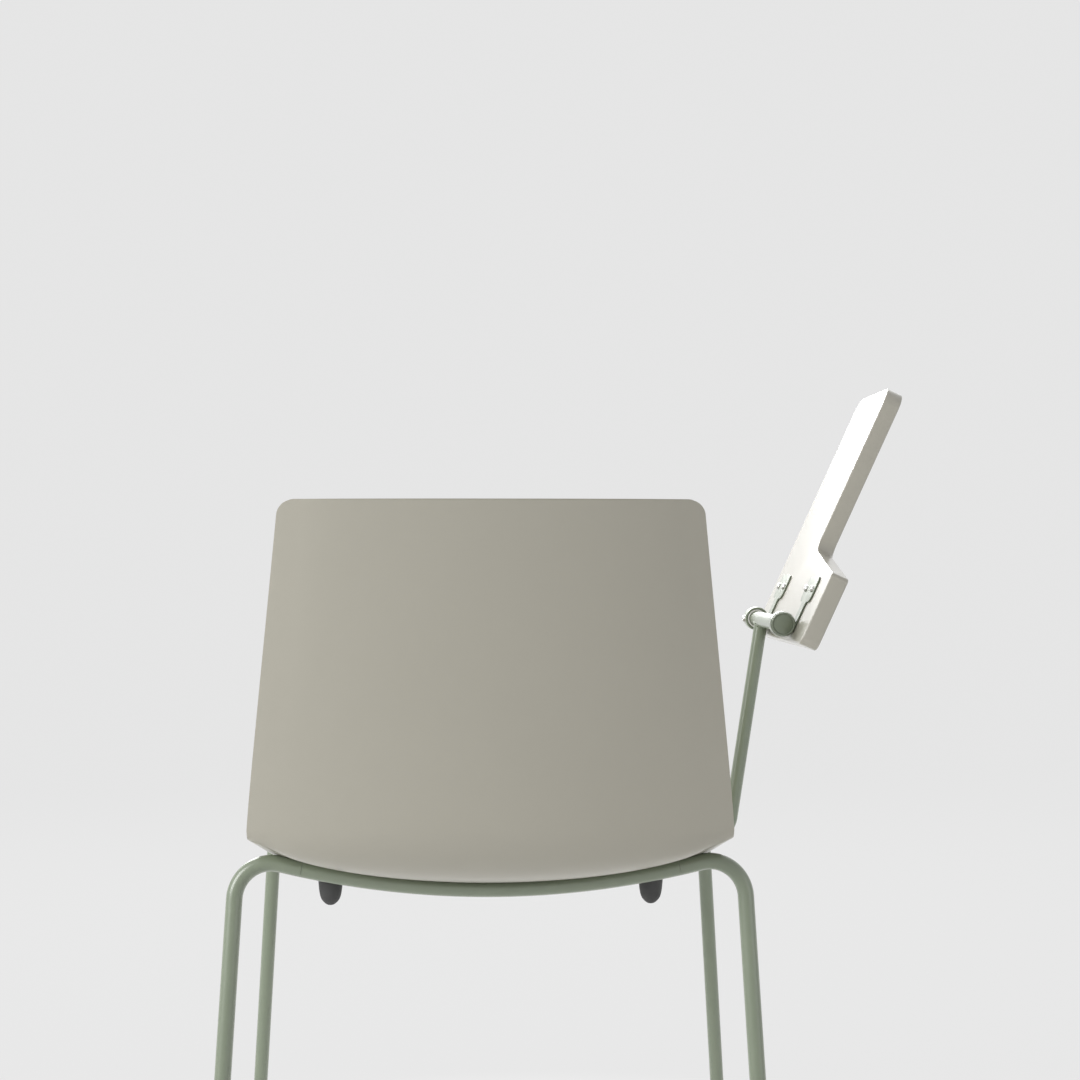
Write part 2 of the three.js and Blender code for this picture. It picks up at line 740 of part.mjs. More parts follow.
function barrelCap(face, direction) {
  const outer = capDiameter / 2;
  const plug = axleTube / 2 + bushWall + gap;
  const inset = outer - capRim;
  const profile = [
    [0, -capThickness + capDish], [inset, -capThickness + capDish], [inset + capDish, -capThickness],
    [outer - capDish, -capThickness], [outer, capDish - capThickness], [outer, 0], [plug, 0],
    [plug, capPlug], [0, capPlug],
  ];
  return stood(turned(profile), onAxis(face), direction);
}

function stopScrew() {
  const way = stopDirection(0);
  const seat = stopSeat + gap;
  const point = onAxis(stopY).addScaledVector(way, seat);
  return buttonScrew(point, way.negate(), stopShank, seat - stopTip, stopHead, screwHeadHeight);
}

function padScrew([v, w]) {
  const point = tabletPoint(v, w, plateTop + gap);
  return buttonScrew(point, tabletOut.clone().negate(), padScrewShank, padScrewLength - gap,
    padScrewHead, padScrewHeadHeight);
}

function seatScrew([x, y]) {
  return buttonScrew(at(x, y, barBottom - gap), up, screwShank, screwLength, screwHead, screwHeadHeight);
}

// Assembly
const chair = new THREE.Group();
function add(name, geometry, color, roughness = 0.6, metalness = 0) {
  const material = new THREE.MeshStandardMaterial({ color, roughness, metalness });
  const mesh = new THREE.Mesh(shape(solid(geometry)), material);
  mesh.name = name;
  chair.add(mesh);
}

add("left_rear_leg", leftLeg(rearFrame), sage);
add("right_rear_leg", rightLeg(rearFrame), sage);
add("rear_crossbar", crossbar(rearFrame), sage);
add("left_front_leg", leftLeg(frontFrame), sage);
add("right_front_leg", rightLeg(frontFrame), sage);
add("front_crossbar", crossbar(frontFrame), sage);
add("left_seat_bar", seatBar(-1), sage);
add("right_seat_bar", seatBar(1), sage);
add("seat_shell", seatShell(), greige);
add("tablet_post", tabletPost(), sage);
add("hinge_axle", hingeAxle(), sage);
const siteNames = ["left_rear", "left_front", "right_rear", "right_front"];
siteNames.forEach((name, i) => {
  add(`shell_screw_${name}`, seatScrew(screwSites[i]), steel, 0.35, 1);
  add(`bumper_${name}`, bumper(...bumperSites[i]), charcoal, 0.9);
  add(`glide_${name}`, glide(i % 2 ? frontFrame : rearFrame, i < 2 ? -1 : 1), charcoal);
});
add("tablet_board", tabletBoard(), greige);
add("bracket_rear", bracket(rearBarrel, false), sage);
add("bracket_front", bracket(frontBarrel, true), sage);
add("bush_rear", bush(capEnd.rear + gap, rearBarrel[1], false), white);
add("bush_front", bush(frontBarrel[0], capEnd.front - gap, true), white);
add("cap_rear", barrelCap(rearBarrel[0] - gap, forward), sage);
add("cap_front", barrelCap(frontBarrel[1] + gap, forward.clone().negate()), sage);
padScrews(rearBarrel).forEach((site, i) => add(`pad_screw_rear_${i + 1}`, padScrew(site), steel, 0.35, 1));
padScrews(frontBarrel).forEach((site, i) => add(`pad_screw_front_${i + 1}`, padScrew(site), steel, 0.35, 1));
add("hinge_stop_screw", stopScrew(), steel, 0.35, 1);

// Face -Y, then stand the chair on the origin by the middle of its box
chair.rotation.z = Math.PI;
const whole = new THREE.Group();
whole.add(chair);
whole.updateMatrixWorld(true);
const bounds = new THREE.Box3().setFromObject(whole, true);
const middle = bounds.getCenter(at(0, 0, 0));
chair.position.set(-middle.x, -middle.y, -bounds.min.z);

export default whole;
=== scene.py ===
"""Nesting chair with a fold-up writing tablet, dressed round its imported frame.

Sizes are in millimetres unless a comment says otherwise.
"""
import json
import math

import bmesh
import bpy
import numpy as np
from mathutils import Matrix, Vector


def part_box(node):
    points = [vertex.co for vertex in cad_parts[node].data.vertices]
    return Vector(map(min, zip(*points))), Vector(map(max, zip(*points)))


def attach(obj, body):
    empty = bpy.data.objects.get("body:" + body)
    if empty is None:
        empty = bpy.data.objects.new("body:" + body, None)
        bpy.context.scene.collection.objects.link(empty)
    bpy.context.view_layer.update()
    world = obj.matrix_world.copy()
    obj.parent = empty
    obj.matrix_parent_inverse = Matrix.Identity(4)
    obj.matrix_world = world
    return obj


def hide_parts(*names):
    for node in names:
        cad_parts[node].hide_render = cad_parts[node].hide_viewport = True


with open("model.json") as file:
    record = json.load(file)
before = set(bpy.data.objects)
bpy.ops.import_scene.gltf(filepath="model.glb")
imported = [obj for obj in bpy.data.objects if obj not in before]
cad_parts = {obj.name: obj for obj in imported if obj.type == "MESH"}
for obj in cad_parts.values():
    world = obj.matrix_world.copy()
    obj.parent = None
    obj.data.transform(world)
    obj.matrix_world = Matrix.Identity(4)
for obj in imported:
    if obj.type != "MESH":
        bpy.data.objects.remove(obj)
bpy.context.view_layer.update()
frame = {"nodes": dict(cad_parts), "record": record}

MM = 0.001

# Sizes of the chair. The legs' bends and the shell's corners follow the photograph more
# closely than the solids do.
GAP = 0.3
FRAME_TUBE, LEG_BEND, SEAM_INSIDE = 16.0, 35.0, 47.7
SEAT_HALF, SEAT_BULGE, SEAT_TAPER = 230.7, 3.0, 6.0
DISH_REAR, DISH_FRONT, DISH_FADE, SEAT_RISE, RISE_POWER = 31.0, 3.2, 145.0, 9.5, 1.15
EDGE_LIFT, EDGE_POWER = 8.5, 7
LIP_START, LIP_RADIUS, LIP_ANGLE, FRONT_CORNER = 420.0, 35.0, 60.0, 40.0
BEND_MIDDLE, BEND_EDGE = 65.0, 11.0
BACK_REAR, BACK_TOP, BACK_CROWN, BACK_ARC, BACK_BOW = -43.0, 797.0, -0.5, 1260.0, 30.0
BACK_TAPER, TAPER_POWER, BACK_CORNER, CORNER_POWER = 32.8, 1.14, 13.5, 4
SAG, SAG_X, SAG_Y, SAG_WIDTH, SAG_LENGTH = 5.5, 210.0, 58.0, 18.0, 27.0
KICK, KICK_WIDTH, KICK_Y, KICK_FADE = 1.8, 15.0, -2.0, 25.0
SHELL_WALL, SHELL_REST, BOSS, BOSS_EASE = 5.0, 0.5, 16.0, 3.0
BOSS_EDGE = [(1.0, 0.0), (0.3, 0.3), (0.0, 1.0)]
SHELL_STEPS = {"across": 88, "corner": 14, "back": 44, "bend": 26, "seat": 44, "rim": 12}
REAR_BAR_Y, REAR_BAR_Z, REAR_BESIDE, REAR_SPLAY, REAR_LEAN = 32.0, 423.2, 15.3, 20.5, 8.0
FRONT_BAR_Y, FRONT_BESIDE, FRONT_SPLAY, FRONT_LEAN = 424.0, 20.3, 28.5, 6.0
FOOT_Z = 6.3
BAR_X, BAR_WIDTH, BAR_THICK, BAR_TOP = 157.0, 24.0, 5.0, 436.0
BAR_INSET, BAR_CORNER, BAR_EDGE = 3.0, 1.0, 0.8
BOSS_Y, BUMPER_Y = (112.0, 318.0), (54.5, 362.0)
SCREW_SHANK, SCREW_HEAD, SCREW_HEAD_HEIGHT, SCREW_LENGTH = 5.0, 9.5, 2.8, 12.0
HEAD_SHARES = [(0, 1), (0.06, 1), (0.3, 0.96), (0.55, 0.82), (0.8, 0.5), (0.94, 0.2), (1, 0)]
SOCKET, SOCKET_DEPTH, SOCKET_LIP, SCREW_SIDES = 3.0, 1.4, 0.15, 48
FLOOR_SHARES, LIP_SHARE, FLAT_SHARE = (0.5, 1.05), 1.08, 1.25
BUMPER, BUMPER_TIP, BUMPER_NECK, BUMPER_BARB = 24.4, 404.3, 9.4, 13.0
BUMPER_SHARES = [(0, 0), (0.29, 0.03), (0.6, 0.15), (0.79, 0.3), (0.9, 0.53), (0.95, 0.75), (1, 1)]
BUMPER_RIM = [(0, 0.8), (0.2, 0.2), (0.8, 0)]
BARB_HEIGHT, BARB_BEVEL, BARB_RISE, BARB_SHARES = 4.0, 0.4, 0.8, (0.8, 0.6)
GLIDE, GLIDE_HEIGHT, GLIDE_FLOOR, GLIDE_EASE = 21.0, 25.0, 6.0, 0.4
GLIDE_RIBS = [(0, 8.4), (0.5, 8), (0.5, 7.2), (0, 6.8), (0, 5.4), (0.5, 5), (0.5, 4.2), (0, 3.8),
              (0, 0.9), (0.3, 0.25), (0.9, 0)]
POST_TUBE, POST_Y, POST_BESIDE, POST_CORNER_Z, POST_RADIUS = 14.0, 206.0, 23.3, 453.0, 22.0
POST_SLOPE, POST_OVER_BAR = 13.0, 4.0
AXIS_X, AXIS_Z, AXLE_END_Y, AXLE_FRONT_Y, AXLE = 289.3, 678.5, 63.4, 252.4, 16.0
BARREL, REAR_BARREL, FRONT_BARREL = 25.0, (60.8, 75.0), (237.0, 255.0)
BARREL_EASE, BARREL_BEVEL, BUSH_WALL, BUSH_EASE = 0.5, 0.15, 1.7, 0.3
CAP, CAP_THICK, CAP_PLUG, CAP_MIDDLE, CAP_DISH = 23.4, 2.0, 2.6, 1.0, 0.3
CAP_FACE = [(2.6, 0.35), (2.3, 0.5), (2.2, 0.9), (1.7, 0.9), (1.6, 0.15), (1.4, 0), (0.6, 0),
            (0.2, 0.15), (0, 0.6)]
STOP_Y, STOP_SHANK, STOP_HEAD, STOP_SEAT, STOP_TIP = 245.5, 4.0, 8.0, 11.8, 5.9
FOLD_ANGLE, BOARD_THICK, BOARD_OVER, BOARD_EDGE = 65.2, 18.0, 12.5, 1.5
BOARD_CORNERS = [(0, 0, 8), (75, 0, 5), (100.8, 150, 18), (287, 150, 20), (287, 308, 19),
                 (0, 308, 25)]
PLATE, PLATE_EDGE, ARM_DEPTH, ARM_CORNER, ARM_END_CORNER = 1.6, 0.35, 18.0, 6.0, 0.3
PAD_DEPTH, PAD, PAD_CORNER = 51.0, (42.0, 70.0), 7.0
PAD_SCREW_SPAN, PAD_SCREW_LENGTH, PAD_SHANK, PAD_HEAD, PAD_HEAD_HEIGHT = 17.0, 13.0, 4.0, 7.6, 2.2
WELD, AXLE_WELD, WELD_RIPPLE, AXLE_RIPPLE, RIPPLE_LENGTH = 1.5, 1.1, 0.14, 0.12, 0.35
WELD_STAND, WELD_MARGIN, LEAST_REACH = 0.3, 1.0, 1.0
BEYOND = 999.0

# Steps along a crossbar, a bend and a weld, and the fewest points that make a bead
BAR_STEPS, BEND_STEPS, WELD_STEPS, POST_WELD_STEPS, AXLE_WELD_STEPS, FEWEST = 48, 24, 24, 12, 96, 4

# Angles in degrees over which an edge stays sharp
CREASE, SHELL_CREASE, TABLET_CREASE, TREE_CREASE, PART_CREASE = 32, 60, 40, 40, 30

# Image the camera matches
IMAGE_PIXELS = 1080
FOCAL_PIXELS = 1885.0
LEVEL_PIXELS = (483, 562)
SENSOR = 36.0
CAMERA_PLACE = (-8, -1800, 740)

# Pale studio: its grey on the ground and in the air, its light, and its glow in reflections
GROUND_GREY, AIR_GREY = (0.797, 0.797, 0.797, 1), (0.791, 0.791, 0.791, 1)
AIR_LIGHT, GLOSS_GLOW = (0.34, 0.34, 0.345, 1), 1.3
# Distance in metres over which the ground turns plain, and its plain share near and far
PLAIN_FROM, PLAIN_TO, NEAR_SHARE, FAR_SHARE = 0.4, 0.75, 0.7, 0.98
# Softboxes: place, target and size in metres, and power in watts
LIGHTS = {
    "key softbox": ((3.3, 2.0, 2.1), (0, 0.1, 0.6), (2.2, 2.2), 132),
    "fill softbox": ((-2.8, 2.2, 1.2), (0, 0, 0.6), (2.0, 2.0), 12),
    "rear softbox": ((0.4, -2.6, 2.5), (0, 0, 0.7), (3.4, 2.2), 165),
}

# Depth in metres of the relief in a finish, and shares of its grain
RELIEF_DEPTH, FINE_SHARE, DRIFT_SHARE = 0.0003, 0.3, 0.5

axle_low, axle_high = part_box("hinge_axle")
CENTRE_X = (axle_low[0] + axle_high[0]) / 2 / MM + AXIS_X
CENTRE_Y = axle_high[1] / MM + AXLE_END_Y


def spot(x, y, z):
    """Place in the row frame for millimetres to the sitter's right, forward and up."""
    return Vector(((CENTRE_X - x) * MM, (CENTRE_Y - y) * MM, z * MM))


# Shader helpers


def nodes_of(tree, kind, at, **values):
    node = tree.nodes.new(kind)
    node.location = at
    for name, value in values.items():
        setattr(node, name, value)
    return node


def set_sockets(node, **values):
    """Sets a node's inputs by name, or links them where the value is a socket."""
    for name, value in values.items():
        socket = node.inputs[name.replace("_", " ")]
        if isinstance(value, bpy.types.NodeSocket):
            node.id_data.links.new(value, socket)
        else:
            socket.default_value = value
    return node


def maths(tree, at, operation, *terms, clamp=False):
    """What a Math node makes of sockets and numbers."""
    node = nodes_of(tree, "ShaderNodeMath", at, operation=operation, use_clamp=clamp)
    for socket, term in zip(node.inputs, terms):
        if isinstance(term, float):
            socket.default_value = term
        else:
            tree.links.new(term, socket)
    return node.outputs[0]


def ranged(tree, at, **values):
    return set_sockets(nodes_of(tree, "ShaderNodeMapRange", at), **values).outputs["Result"]


def noise_of(tree, at, **values):
    return set_sockets(nodes_of(tree, "ShaderNodeTexNoise", at), **values).outputs["Fac"]


def new_group(name, inputs, outputs, kind_of_tree="ShaderNodeTree"):
    tree = bpy.data.node_groups.new(name, kind_of_tree)
    for label, kind, value in inputs:
        socket = tree.interface.new_socket(label, in_out="INPUT", socket_type=kind)
        if value is not None:
            socket.default_value = value
    for label, kind in outputs:
        tree.interface.new_socket(label, in_out="OUTPUT", socket_type=kind)
    entry = nodes_of(tree, "NodeGroupInput", (-900, 0))
    return tree, entry, nodes_of(tree, "NodeGroupOutput", (600, 0))


FLOAT, COLOUR = "NodeSocketFloat", "NodeSocketColor"


def grain_group():
    """Fine moulded or sprayed grain with slow drifts of tone and gloss."""
    tree, entry, leave = new_group(
        "fine grain",
        [("Colour", COLOUR, (0.5, 0.5, 0.5, 1)), ("Tint", COLOUR, (0.4, 0.4, 0.4, 1)),
         ("Grain scale", FLOAT, 900.0), ("Drift scale", FLOAT, 6.0), ("Speck", FLOAT, 0.1),
         ("Rough low", FLOAT, 0.4), ("Rough high", FLOAT, 0.5)],
        [("Colour", COLOUR), ("Roughness", FLOAT), ("Height", FLOAT)])
    given = entry.outputs
    place = nodes_of(tree, "ShaderNodeTexCoord", (-1100, 200)).outputs["Object"]
    grain = noise_of(tree, (-650, 250), Vector=place, Scale=given["Grain scale"], Detail=3.0,
                     Roughness=0.6)
    drift = noise_of(tree, (-650, -50), Vector=place, Scale=given["Drift scale"], Detail=2.0)
    finer = maths(tree, (-850, -350), "MULTIPLY", given["Grain scale"], FINE_SHARE)
    fine = noise_of(tree, (-650, -350), Vector=place, Scale=finer, Detail=1.0)
    spread = ranged(tree, (-400, -50), Value=drift, From_Min=0.3, From_Max=0.7)
    speck = maths(tree, (-400, -350), "MULTIPLY", fine, given["Speck"])
    both = maths(tree, (-200, -150), "MULTIPLY_ADD", spread, DRIFT_SHARE, speck, clamp=True)
    mix = set_sockets(nodes_of(tree, "ShaderNodeMix", (50, 150), data_type="RGBA"), Factor=both)
    tree.links.new(given["Colour"], mix.inputs[6])
    tree.links.new(given["Tint"], mix.inputs[7])
    rough = ranged(tree, (50, -150), Value=both, To_Min=given["Rough low"],
                   To_Max=given["Rough high"])
    set_sockets(leave, Colour=mix.outputs[2], Roughness=rough, Height=grain)
    return tree


def rub_group():
    """Faint rubs left by handling: fine streaks that show where a slow noise lets them."""
    tree, entry, leave = new_group(
        "handling rubs", [("Scale", FLOAT, 60.0), ("Stretch", FLOAT, 9.0), ("Amount", FLOAT, 0.1)],
        [("Mask", FLOAT)])
    place = nodes_of(tree, "ShaderNodeTexCoord", (-1300, 0)).outputs["Object"]
    stretch = nodes_of(tree, "ShaderNodeCombineXYZ", (-1100, -200))
    set_sockets(stretch, X=1.0, Y=1.0, Z=entry.outputs["Stretch"])
    turn = nodes_of(tree, "ShaderNodeMapping", (-900, 150))
    set_sockets(turn, Vector=place, Rotation=(0.5, 0.9, 0.2), Scale=stretch.outputs[0])
    streak = noise_of(tree, (-650, 150), Vector=turn.outputs["Vector"],
                      Scale=entry.outputs["Scale"], Detail=4.0, Roughness=0.7)
    patch = noise_of(tree, (-650, -150), Vector=place, Scale=11.0, Detail=1.0)
    sharp = ranged(tree, (-400, 150), Value=streak, From_Min=0.58, From_Max=0.72)
    where = ranged(tree, (-400, -150), Value=patch, From_Min=0.5, From_Max=0.75)
    both = maths(tree, (-150, 0), "MULTIPLY", sharp, where)
    set_sockets(leave, Mask=maths(tree, (100, 0), "MULTIPLY", both, entry.outputs["Amount"]))
    return tree


GRAIN, RUBS = grain_group(), rub_group()


def finish_of(name, colour, tint, rough, grain=900.0, drift=6.0, speck=0.1, bump=0.02, rubs=0.08,
              metallic=0.0, coat=0.0, coat_rough=0.3):
    """Material with grain, drifting tone and gloss, and faint rubs."""
    material = bpy.data.materials.new(name)
    material.use_nodes = True
    tree = material.node_tree
    surface = nodes_of(tree, "ShaderNodeGroup", (-700, 200), node_tree=GRAIN)
    set_sockets(surface, Colour=(*colour, 1), Tint=(*tint, 1), Grain_scale=grain, Drift_scale=drift,
                Speck=speck, Rough_low=rough[0], Rough_high=rough[1])
    made = surface.outputs
    marks = nodes_of(tree, "ShaderNodeGroup", (-700, -150), node_tree=RUBS)
    set_sockets(marks, Amount=rubs)
    gloss = maths(tree, (-400, 0), "SUBTRACT", made["Roughness"], marks.outputs["Mask"], clamp=True)
    relief = nodes_of(tree, "ShaderNodeBump", (-400, -300))
    set_sockets(relief, Strength=bump, Distance=RELIEF_DEPTH, Height=made["Height"])
    set_sockets(tree.nodes["Principled BSDF"], Base_Color=made["Colour"], Roughness=gloss,
                Normal=relief.outputs["Normal"], Metallic=metallic, Coat_Weight=coat,
                Coat_Roughness=coat_rough)
    return material


FINISHES = {
    "shell_plastic": finish_of(
        "greige moulded plastic", (0.362, 0.345, 0.288), (0.338, 0.322, 0.268), (0.36, 0.44),
        drift=3.0, speck=0.12, bump=0.12, coat=0.3),
    "tablet_plastic": finish_of(
        "greige tablet plastic", (0.372, 0.356, 0.3), (0.345, 0.33, 0.275), (0.3, 0.38),
        drift=7.0, bump=0.08, coat=0.7, coat_rough=0.24),
    "frame_paint": finish_of(
        "sage green powder coat", (0.19, 0.225, 0.155), (0.165, 0.2, 0.135), (0.34, 0.42),
        grain=1400.0, drift=18.0, bump=0.12, coat=0.7, coat_rough=0.24),
    "bumper_rubber": finish_of(
        "dark rubber", (0.045, 0.045, 0.044), (0.035, 0.035, 0.035), (0.6, 0.75),
        grain=1200.0, drift=40.0, bump=0.25),
    "glide_plastic": finish_of(
        "dark glide plastic", (0.05, 0.05, 0.05), (0.04, 0.04, 0.04), (0.45, 0.6),
        drift=40.0, bump=0.2, rubs=0.2),
    "screw_steel": finish_of(
        "zinc-plated steel", (0.6, 0.6, 0.58), (0.45, 0.45, 0.44), (0.25, 0.4),
        grain=2500.0, drift=160.0, bump=0.1, metallic=1.0),
    "bush_plastic": finish_of(
        "white bearing plastic", (0.75, 0.75, 0.72), (0.68, 0.68, 0.65), (0.35, 0.45), drift=60.0),
}

node_slots = {entry["node"]: entry["material_slot"] for entry in frame["record"]["subparts"]}
for name, node in frame["nodes"].items():
    if not node.material_slots:
        node.data.materials.append(None)
    for slot in node.material_slots:
        slot.material = FINISHES[node_slots[name]]

# Shapes, as points in the chair's own millimetres and faces


def to_row(points):
    """The same points in metres in the row frame."""
    return (np.asarray(points, float) * (-1, -1, 1) + (CENTRE_X, CENTRE_Y, 0)) * MM


def joined(*parts):
    """Several shapes as one."""
    points, faces, start = [], [], 0
    for own_points, own_faces in parts:
        points.append(np.asarray(own_points, float))
        faces += [[start + i for i in face] for face in own_faces]
        start += len(own_points)
    return np.concatenate(points), faces


def skin(rings, ring_shaped=False):
    """Skin over rings of points. The end rings are closed, or joined to each other."""
    count, size = len(rings), len(rings[0])
    points = [p for ring in rings for p in ring]
    faces = []
    for i in range(count if ring_shaped else count - 1):
        a, b = i * size, (i + 1) % count * size
        for j in range(size):
            k = (j + 1) % size
            faces.append([a + j, a + k, b + k, b + j])
    if not ring_shaped:
        faces.append(list(range(size))[::-1])
        faces.append(list(range((count - 1) * size, count * size)))
    return points, faces


def eased(points, steps):
    """Smooth line through a few points."""
    p = np.array([points[0], *points, points[-1]], float)
    out = []
    for i in range(1, len(p) - 2):
        for j in range(steps):
            t = j / steps
            out.append(0.5 * (2 * p[i] + (p[i + 1] - p[i - 1]) * t
                              + (2 * p[i - 1] - 5 * p[i] + 4 * p[i + 1] - p[i + 2]) * t ** 2
                              + (3 * p[i] - p[i - 1] - 3 * p[i + 1] + p[i + 2]) * t ** 3))
    return [tuple(q) for q in out] + [tuple(points[-1])]


def turned(profile, place, axis, sides=64, ring_shaped=False):
    """Body turned about an axis, from a profile of radius and height."""
    along = Vector(axis).normalized()
    side = along.orthogonal().normalized()
    other = along.cross(side)
    rings = []
    for radius, height in profile:
        rings.append([Vector(place) + along * height
                      + side * radius * math.cos(2 * math.pi * j / sides)
                      + other * radius * math.sin(2 * math.pi * j / sides) for j in range(sides)])
    return skin(rings, ring_shaped)


def arc(centre, start, end, steps):
    """Points round a centre, from one arm to another."""
    sweep = math.atan2(start.x * end.y - start.y * end.x, start.dot(end))
    turns = [sweep * i / steps for i in range(steps + 1)]
    return [(centre.x + start.x * math.cos(turn) - start.y * math.sin(turn),
             centre.y + start.x * math.sin(turn) + start.y * math.cos(turn)) for turn in turns]


def rounded(corners, steps):
    """Outline with each corner (x, y, radius) rounded."""
    outline = []
    for i, (x, y, radius) in enumerate(corners):
        corner = Vector((x, y))
        back = (Vector(corners[i - 1][:2]) - corner).normalized()
        on = (Vector(corners[(i + 1) % len(corners)][:2]) - corner).normalized()
        half = math.acos(max(-1, min(1, back.dot(on)))) / 2
        centre = corner + (back + on).normalized() * radius / math.sin(half)
        start = corner + back * radius / math.tan(half) - centre
        end = corner + on * radius / math.tan(half) - centre
        outline += arc(centre, start, end, steps)
    return outline


def drawn_in(outline, inset):
    """Outline moved inwards."""
    p = np.array(outline, float)
    on = np.roll(p, -1, 0) - p
    on /= np.linalg.norm(on, axis=1, keepdims=True)
    left = np.stack([-on[:, 1], on[:, 0]], 1)
    both = left + np.roll(left, 1, 0)
    both /= np.maximum((both * left).sum(1, keepdims=True), 0.2)
    area = (p[:, 0] * np.roll(p[:, 1], -1) - np.roll(p[:, 0], -1) * p[:, 1]).sum()
    return p + both * inset * np.sign(area)


def plate(outline, low, high, edge, place, steps=5):
    """Flat plate with rounded edges. place turns (u, v, height) into a point."""
    turns = [math.pi / 2 * k / steps for k in range(steps + 1)]
    levels = [(turn, low + edge * (1 - math.cos(turn))) for turn in turns]
    levels += [(turn, high - edge * (1 - math.cos(turn))) for turn in reversed(turns)]
    rings = []
    for turn, height in levels:
        ring = drawn_in(outline, edge * (1 - math.sin(turn)))
        rings.append([place(u, v, height) for u, v in ring])
    return skin(rings)


def mesh_of(name, points, edges=(), faces=()):
    mesh = bpy.data.meshes.new(name)
    mesh.from_pydata([tuple(p) for p in points], edges, faces)
    return mesh


def finished(mesh, crease):
    """The mesh with its faces outwards, smooth but for its sharp edges."""
    shape = bmesh.new()
    shape.from_mesh(mesh)
    bmesh.ops.recalc_face_normals(shape, faces=shape.faces)
    shape.to_mesh(mesh)
    shape.free()
    mesh.shade_smooth()
    mesh.set_sharp_from_angle(angle=math.radians(crease))
    return mesh


def placed(name, data):
    """New object in the scene."""
    thing = bpy.data.objects.new(name, data)
    bpy.context.scene.collection.objects.link(thing)
    return thing


def piece_of(name, mesh, slot, body, *nodes):
    """Finished piece that rides on a body and stands for its CAD nodes."""
    piece = placed(name, mesh) if isinstance(mesh, bpy.types.Mesh) else mesh
    piece.data.materials.clear()
    piece.data.materials.append(FINISHES[slot])
    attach(piece, body)
    if nodes:
        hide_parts(*nodes)
    return piece


def solid_piece(name, part, slot, body, *nodes, crease=CREASE):
    """Piece from points in the chair's millimetres and faces."""
    points, faces = part
    mesh = mesh_of(name, to_row([tuple(p) for p in points]), faces=faces)
    return piece_of(name, finished(mesh, crease), slot, body, *nodes)


# Seat shell

BELLY_Z = REAR_BAR_Z + FRAME_TUBE / 2 + SHELL_REST
BEND_END_Y = BACK_REAR + BEND_MIDDLE
LIP_LENGTH = LIP_RADIUS * math.radians(LIP_ANGLE)
ARC = math.pi / 2
EDGE_TOP = BACK_TOP - BACK_CROWN


def seat_under(x, y):
    """Height of the seat's underside, with a soft sag and a kick at its rear corners."""
    run = max(y - BEND_END_Y, 0) / (FRONT_BAR_Y - BEND_END_Y)
    dish = DISH_FRONT + (DISH_REAR - DISH_FRONT) * math.exp((BEND_END_Y - y) / DISH_FADE)
    part = abs(x) / SEAT_HALF
    beside = abs(x) - SAG_X
    sag = SAG * math.exp(-(beside / SAG_WIDTH) ** 2 - ((y - SAG_Y) / SAG_LENGTH) ** 2)
    kick = KICK * math.exp(-(beside / KICK_WIDTH) ** 2 - max(y - KICK_Y, 0) / KICK_FADE)
    rise = SEAT_RISE * run ** RISE_POWER
    return BELLY_Z + rise + dish * part ** 2 + EDGE_LIFT * part ** EDGE_POWER + kick - sag


BENDS = {}


def bend_at(share):
    """Radius, rearmost line, slope, end and height of the bend under the back."""
    if share not in BENDS:
        x = share * SEAT_HALF
        radius = BEND_MIDDLE + (BEND_EDGE - BEND_MIDDLE) * share ** 2
        rear = BACK_REAR + BACK_BOW * share ** 2
        slope = 0.0
        for _ in range(8):
            end = rear + radius * (1 - math.sin(slope))
            slope = math.atan((seat_under(x, end - GAP) - seat_under(x, end + GAP)) / (2 * GAP))
        BENDS[share] = radius, rear, slope, end, seat_under(x, end) + radius * math.cos(slope)
    return BENDS[share]


def back_half(z):
    """Half width of the back at a height, and how far its corner cuts in."""
    bend = bend_at(1.0)[4]
    share = max((z - bend) / (EDGE_TOP - bend), 0)
    full = SEAT_HALF - BACK_TAPER * share ** TAPER_POWER
    into = max(z - (EDGE_TOP - BACK_CORNER), 0) / BACK_CORNER
    return full, BACK_CORNER * (1 - math.sqrt(max(1 - into ** 2, 0)))


def seat_half_at(along):
    """Half width of the seat at a distance along it, and how far its corner cuts in."""
    share = min(max(along / LIP_START, 0), 1)
    full = SEAT_HALF + SEAT_BULGE * math.sin(math.pi * share) - SEAT_TAPER * share ** 3
    into = max(along - (LIP_START + LIP_LENGTH - FRONT_CORNER), 0) / FRONT_CORNER
    return full, FRONT_CORNER * (1 - math.sqrt(max(1 - into ** 2, 0)))


def trimmed(share, full, corner):
    """Share of the width, drawn in where the row's end is cut by a corner."""
    return share - math.copysign(corner / full * share ** CORNER_POWER, share)


def back_point(share, down):
    full, corner = back_half(EDGE_TOP + (bend_at(1.0)[4] - EDGE_TOP) * down)
    share = trimmed(share, full, corner)
    _, rear, _, _, start = bend_at(share)
    top = BACK_TOP - BACK_CROWN * share ** 2
    z = top + (start - top) * down
    lean = BACK_ARC - math.sqrt(BACK_ARC ** 2 - max(z - start, 0) ** 2)
    return share * full, rear - lean, z


def bend_point(share, turn):
    radius, rear, slope, _, start = bend_at(share)
    angle = turn * (ARC - slope)
    y = rear + radius * (1 - math.cos(angle))
    return share * SEAT_HALF, y, start - radius * math.sin(angle)


def seat_point(share, along):
    full, corner = seat_half_at(along)
    share = trimmed(share, full, corner)
    start = bend_at(share)[3]
    y = start + (LIP_START - start) * min(along / LIP_START, 1)
    x = share * full
    angle = max(along - LIP_START, 0) / LIP_RADIUS
    z = seat_under(x, y) - LIP_RADIUS * (1 - math.cos(angle))
    return x, y + LIP_RADIUS * math.sin(angle), z


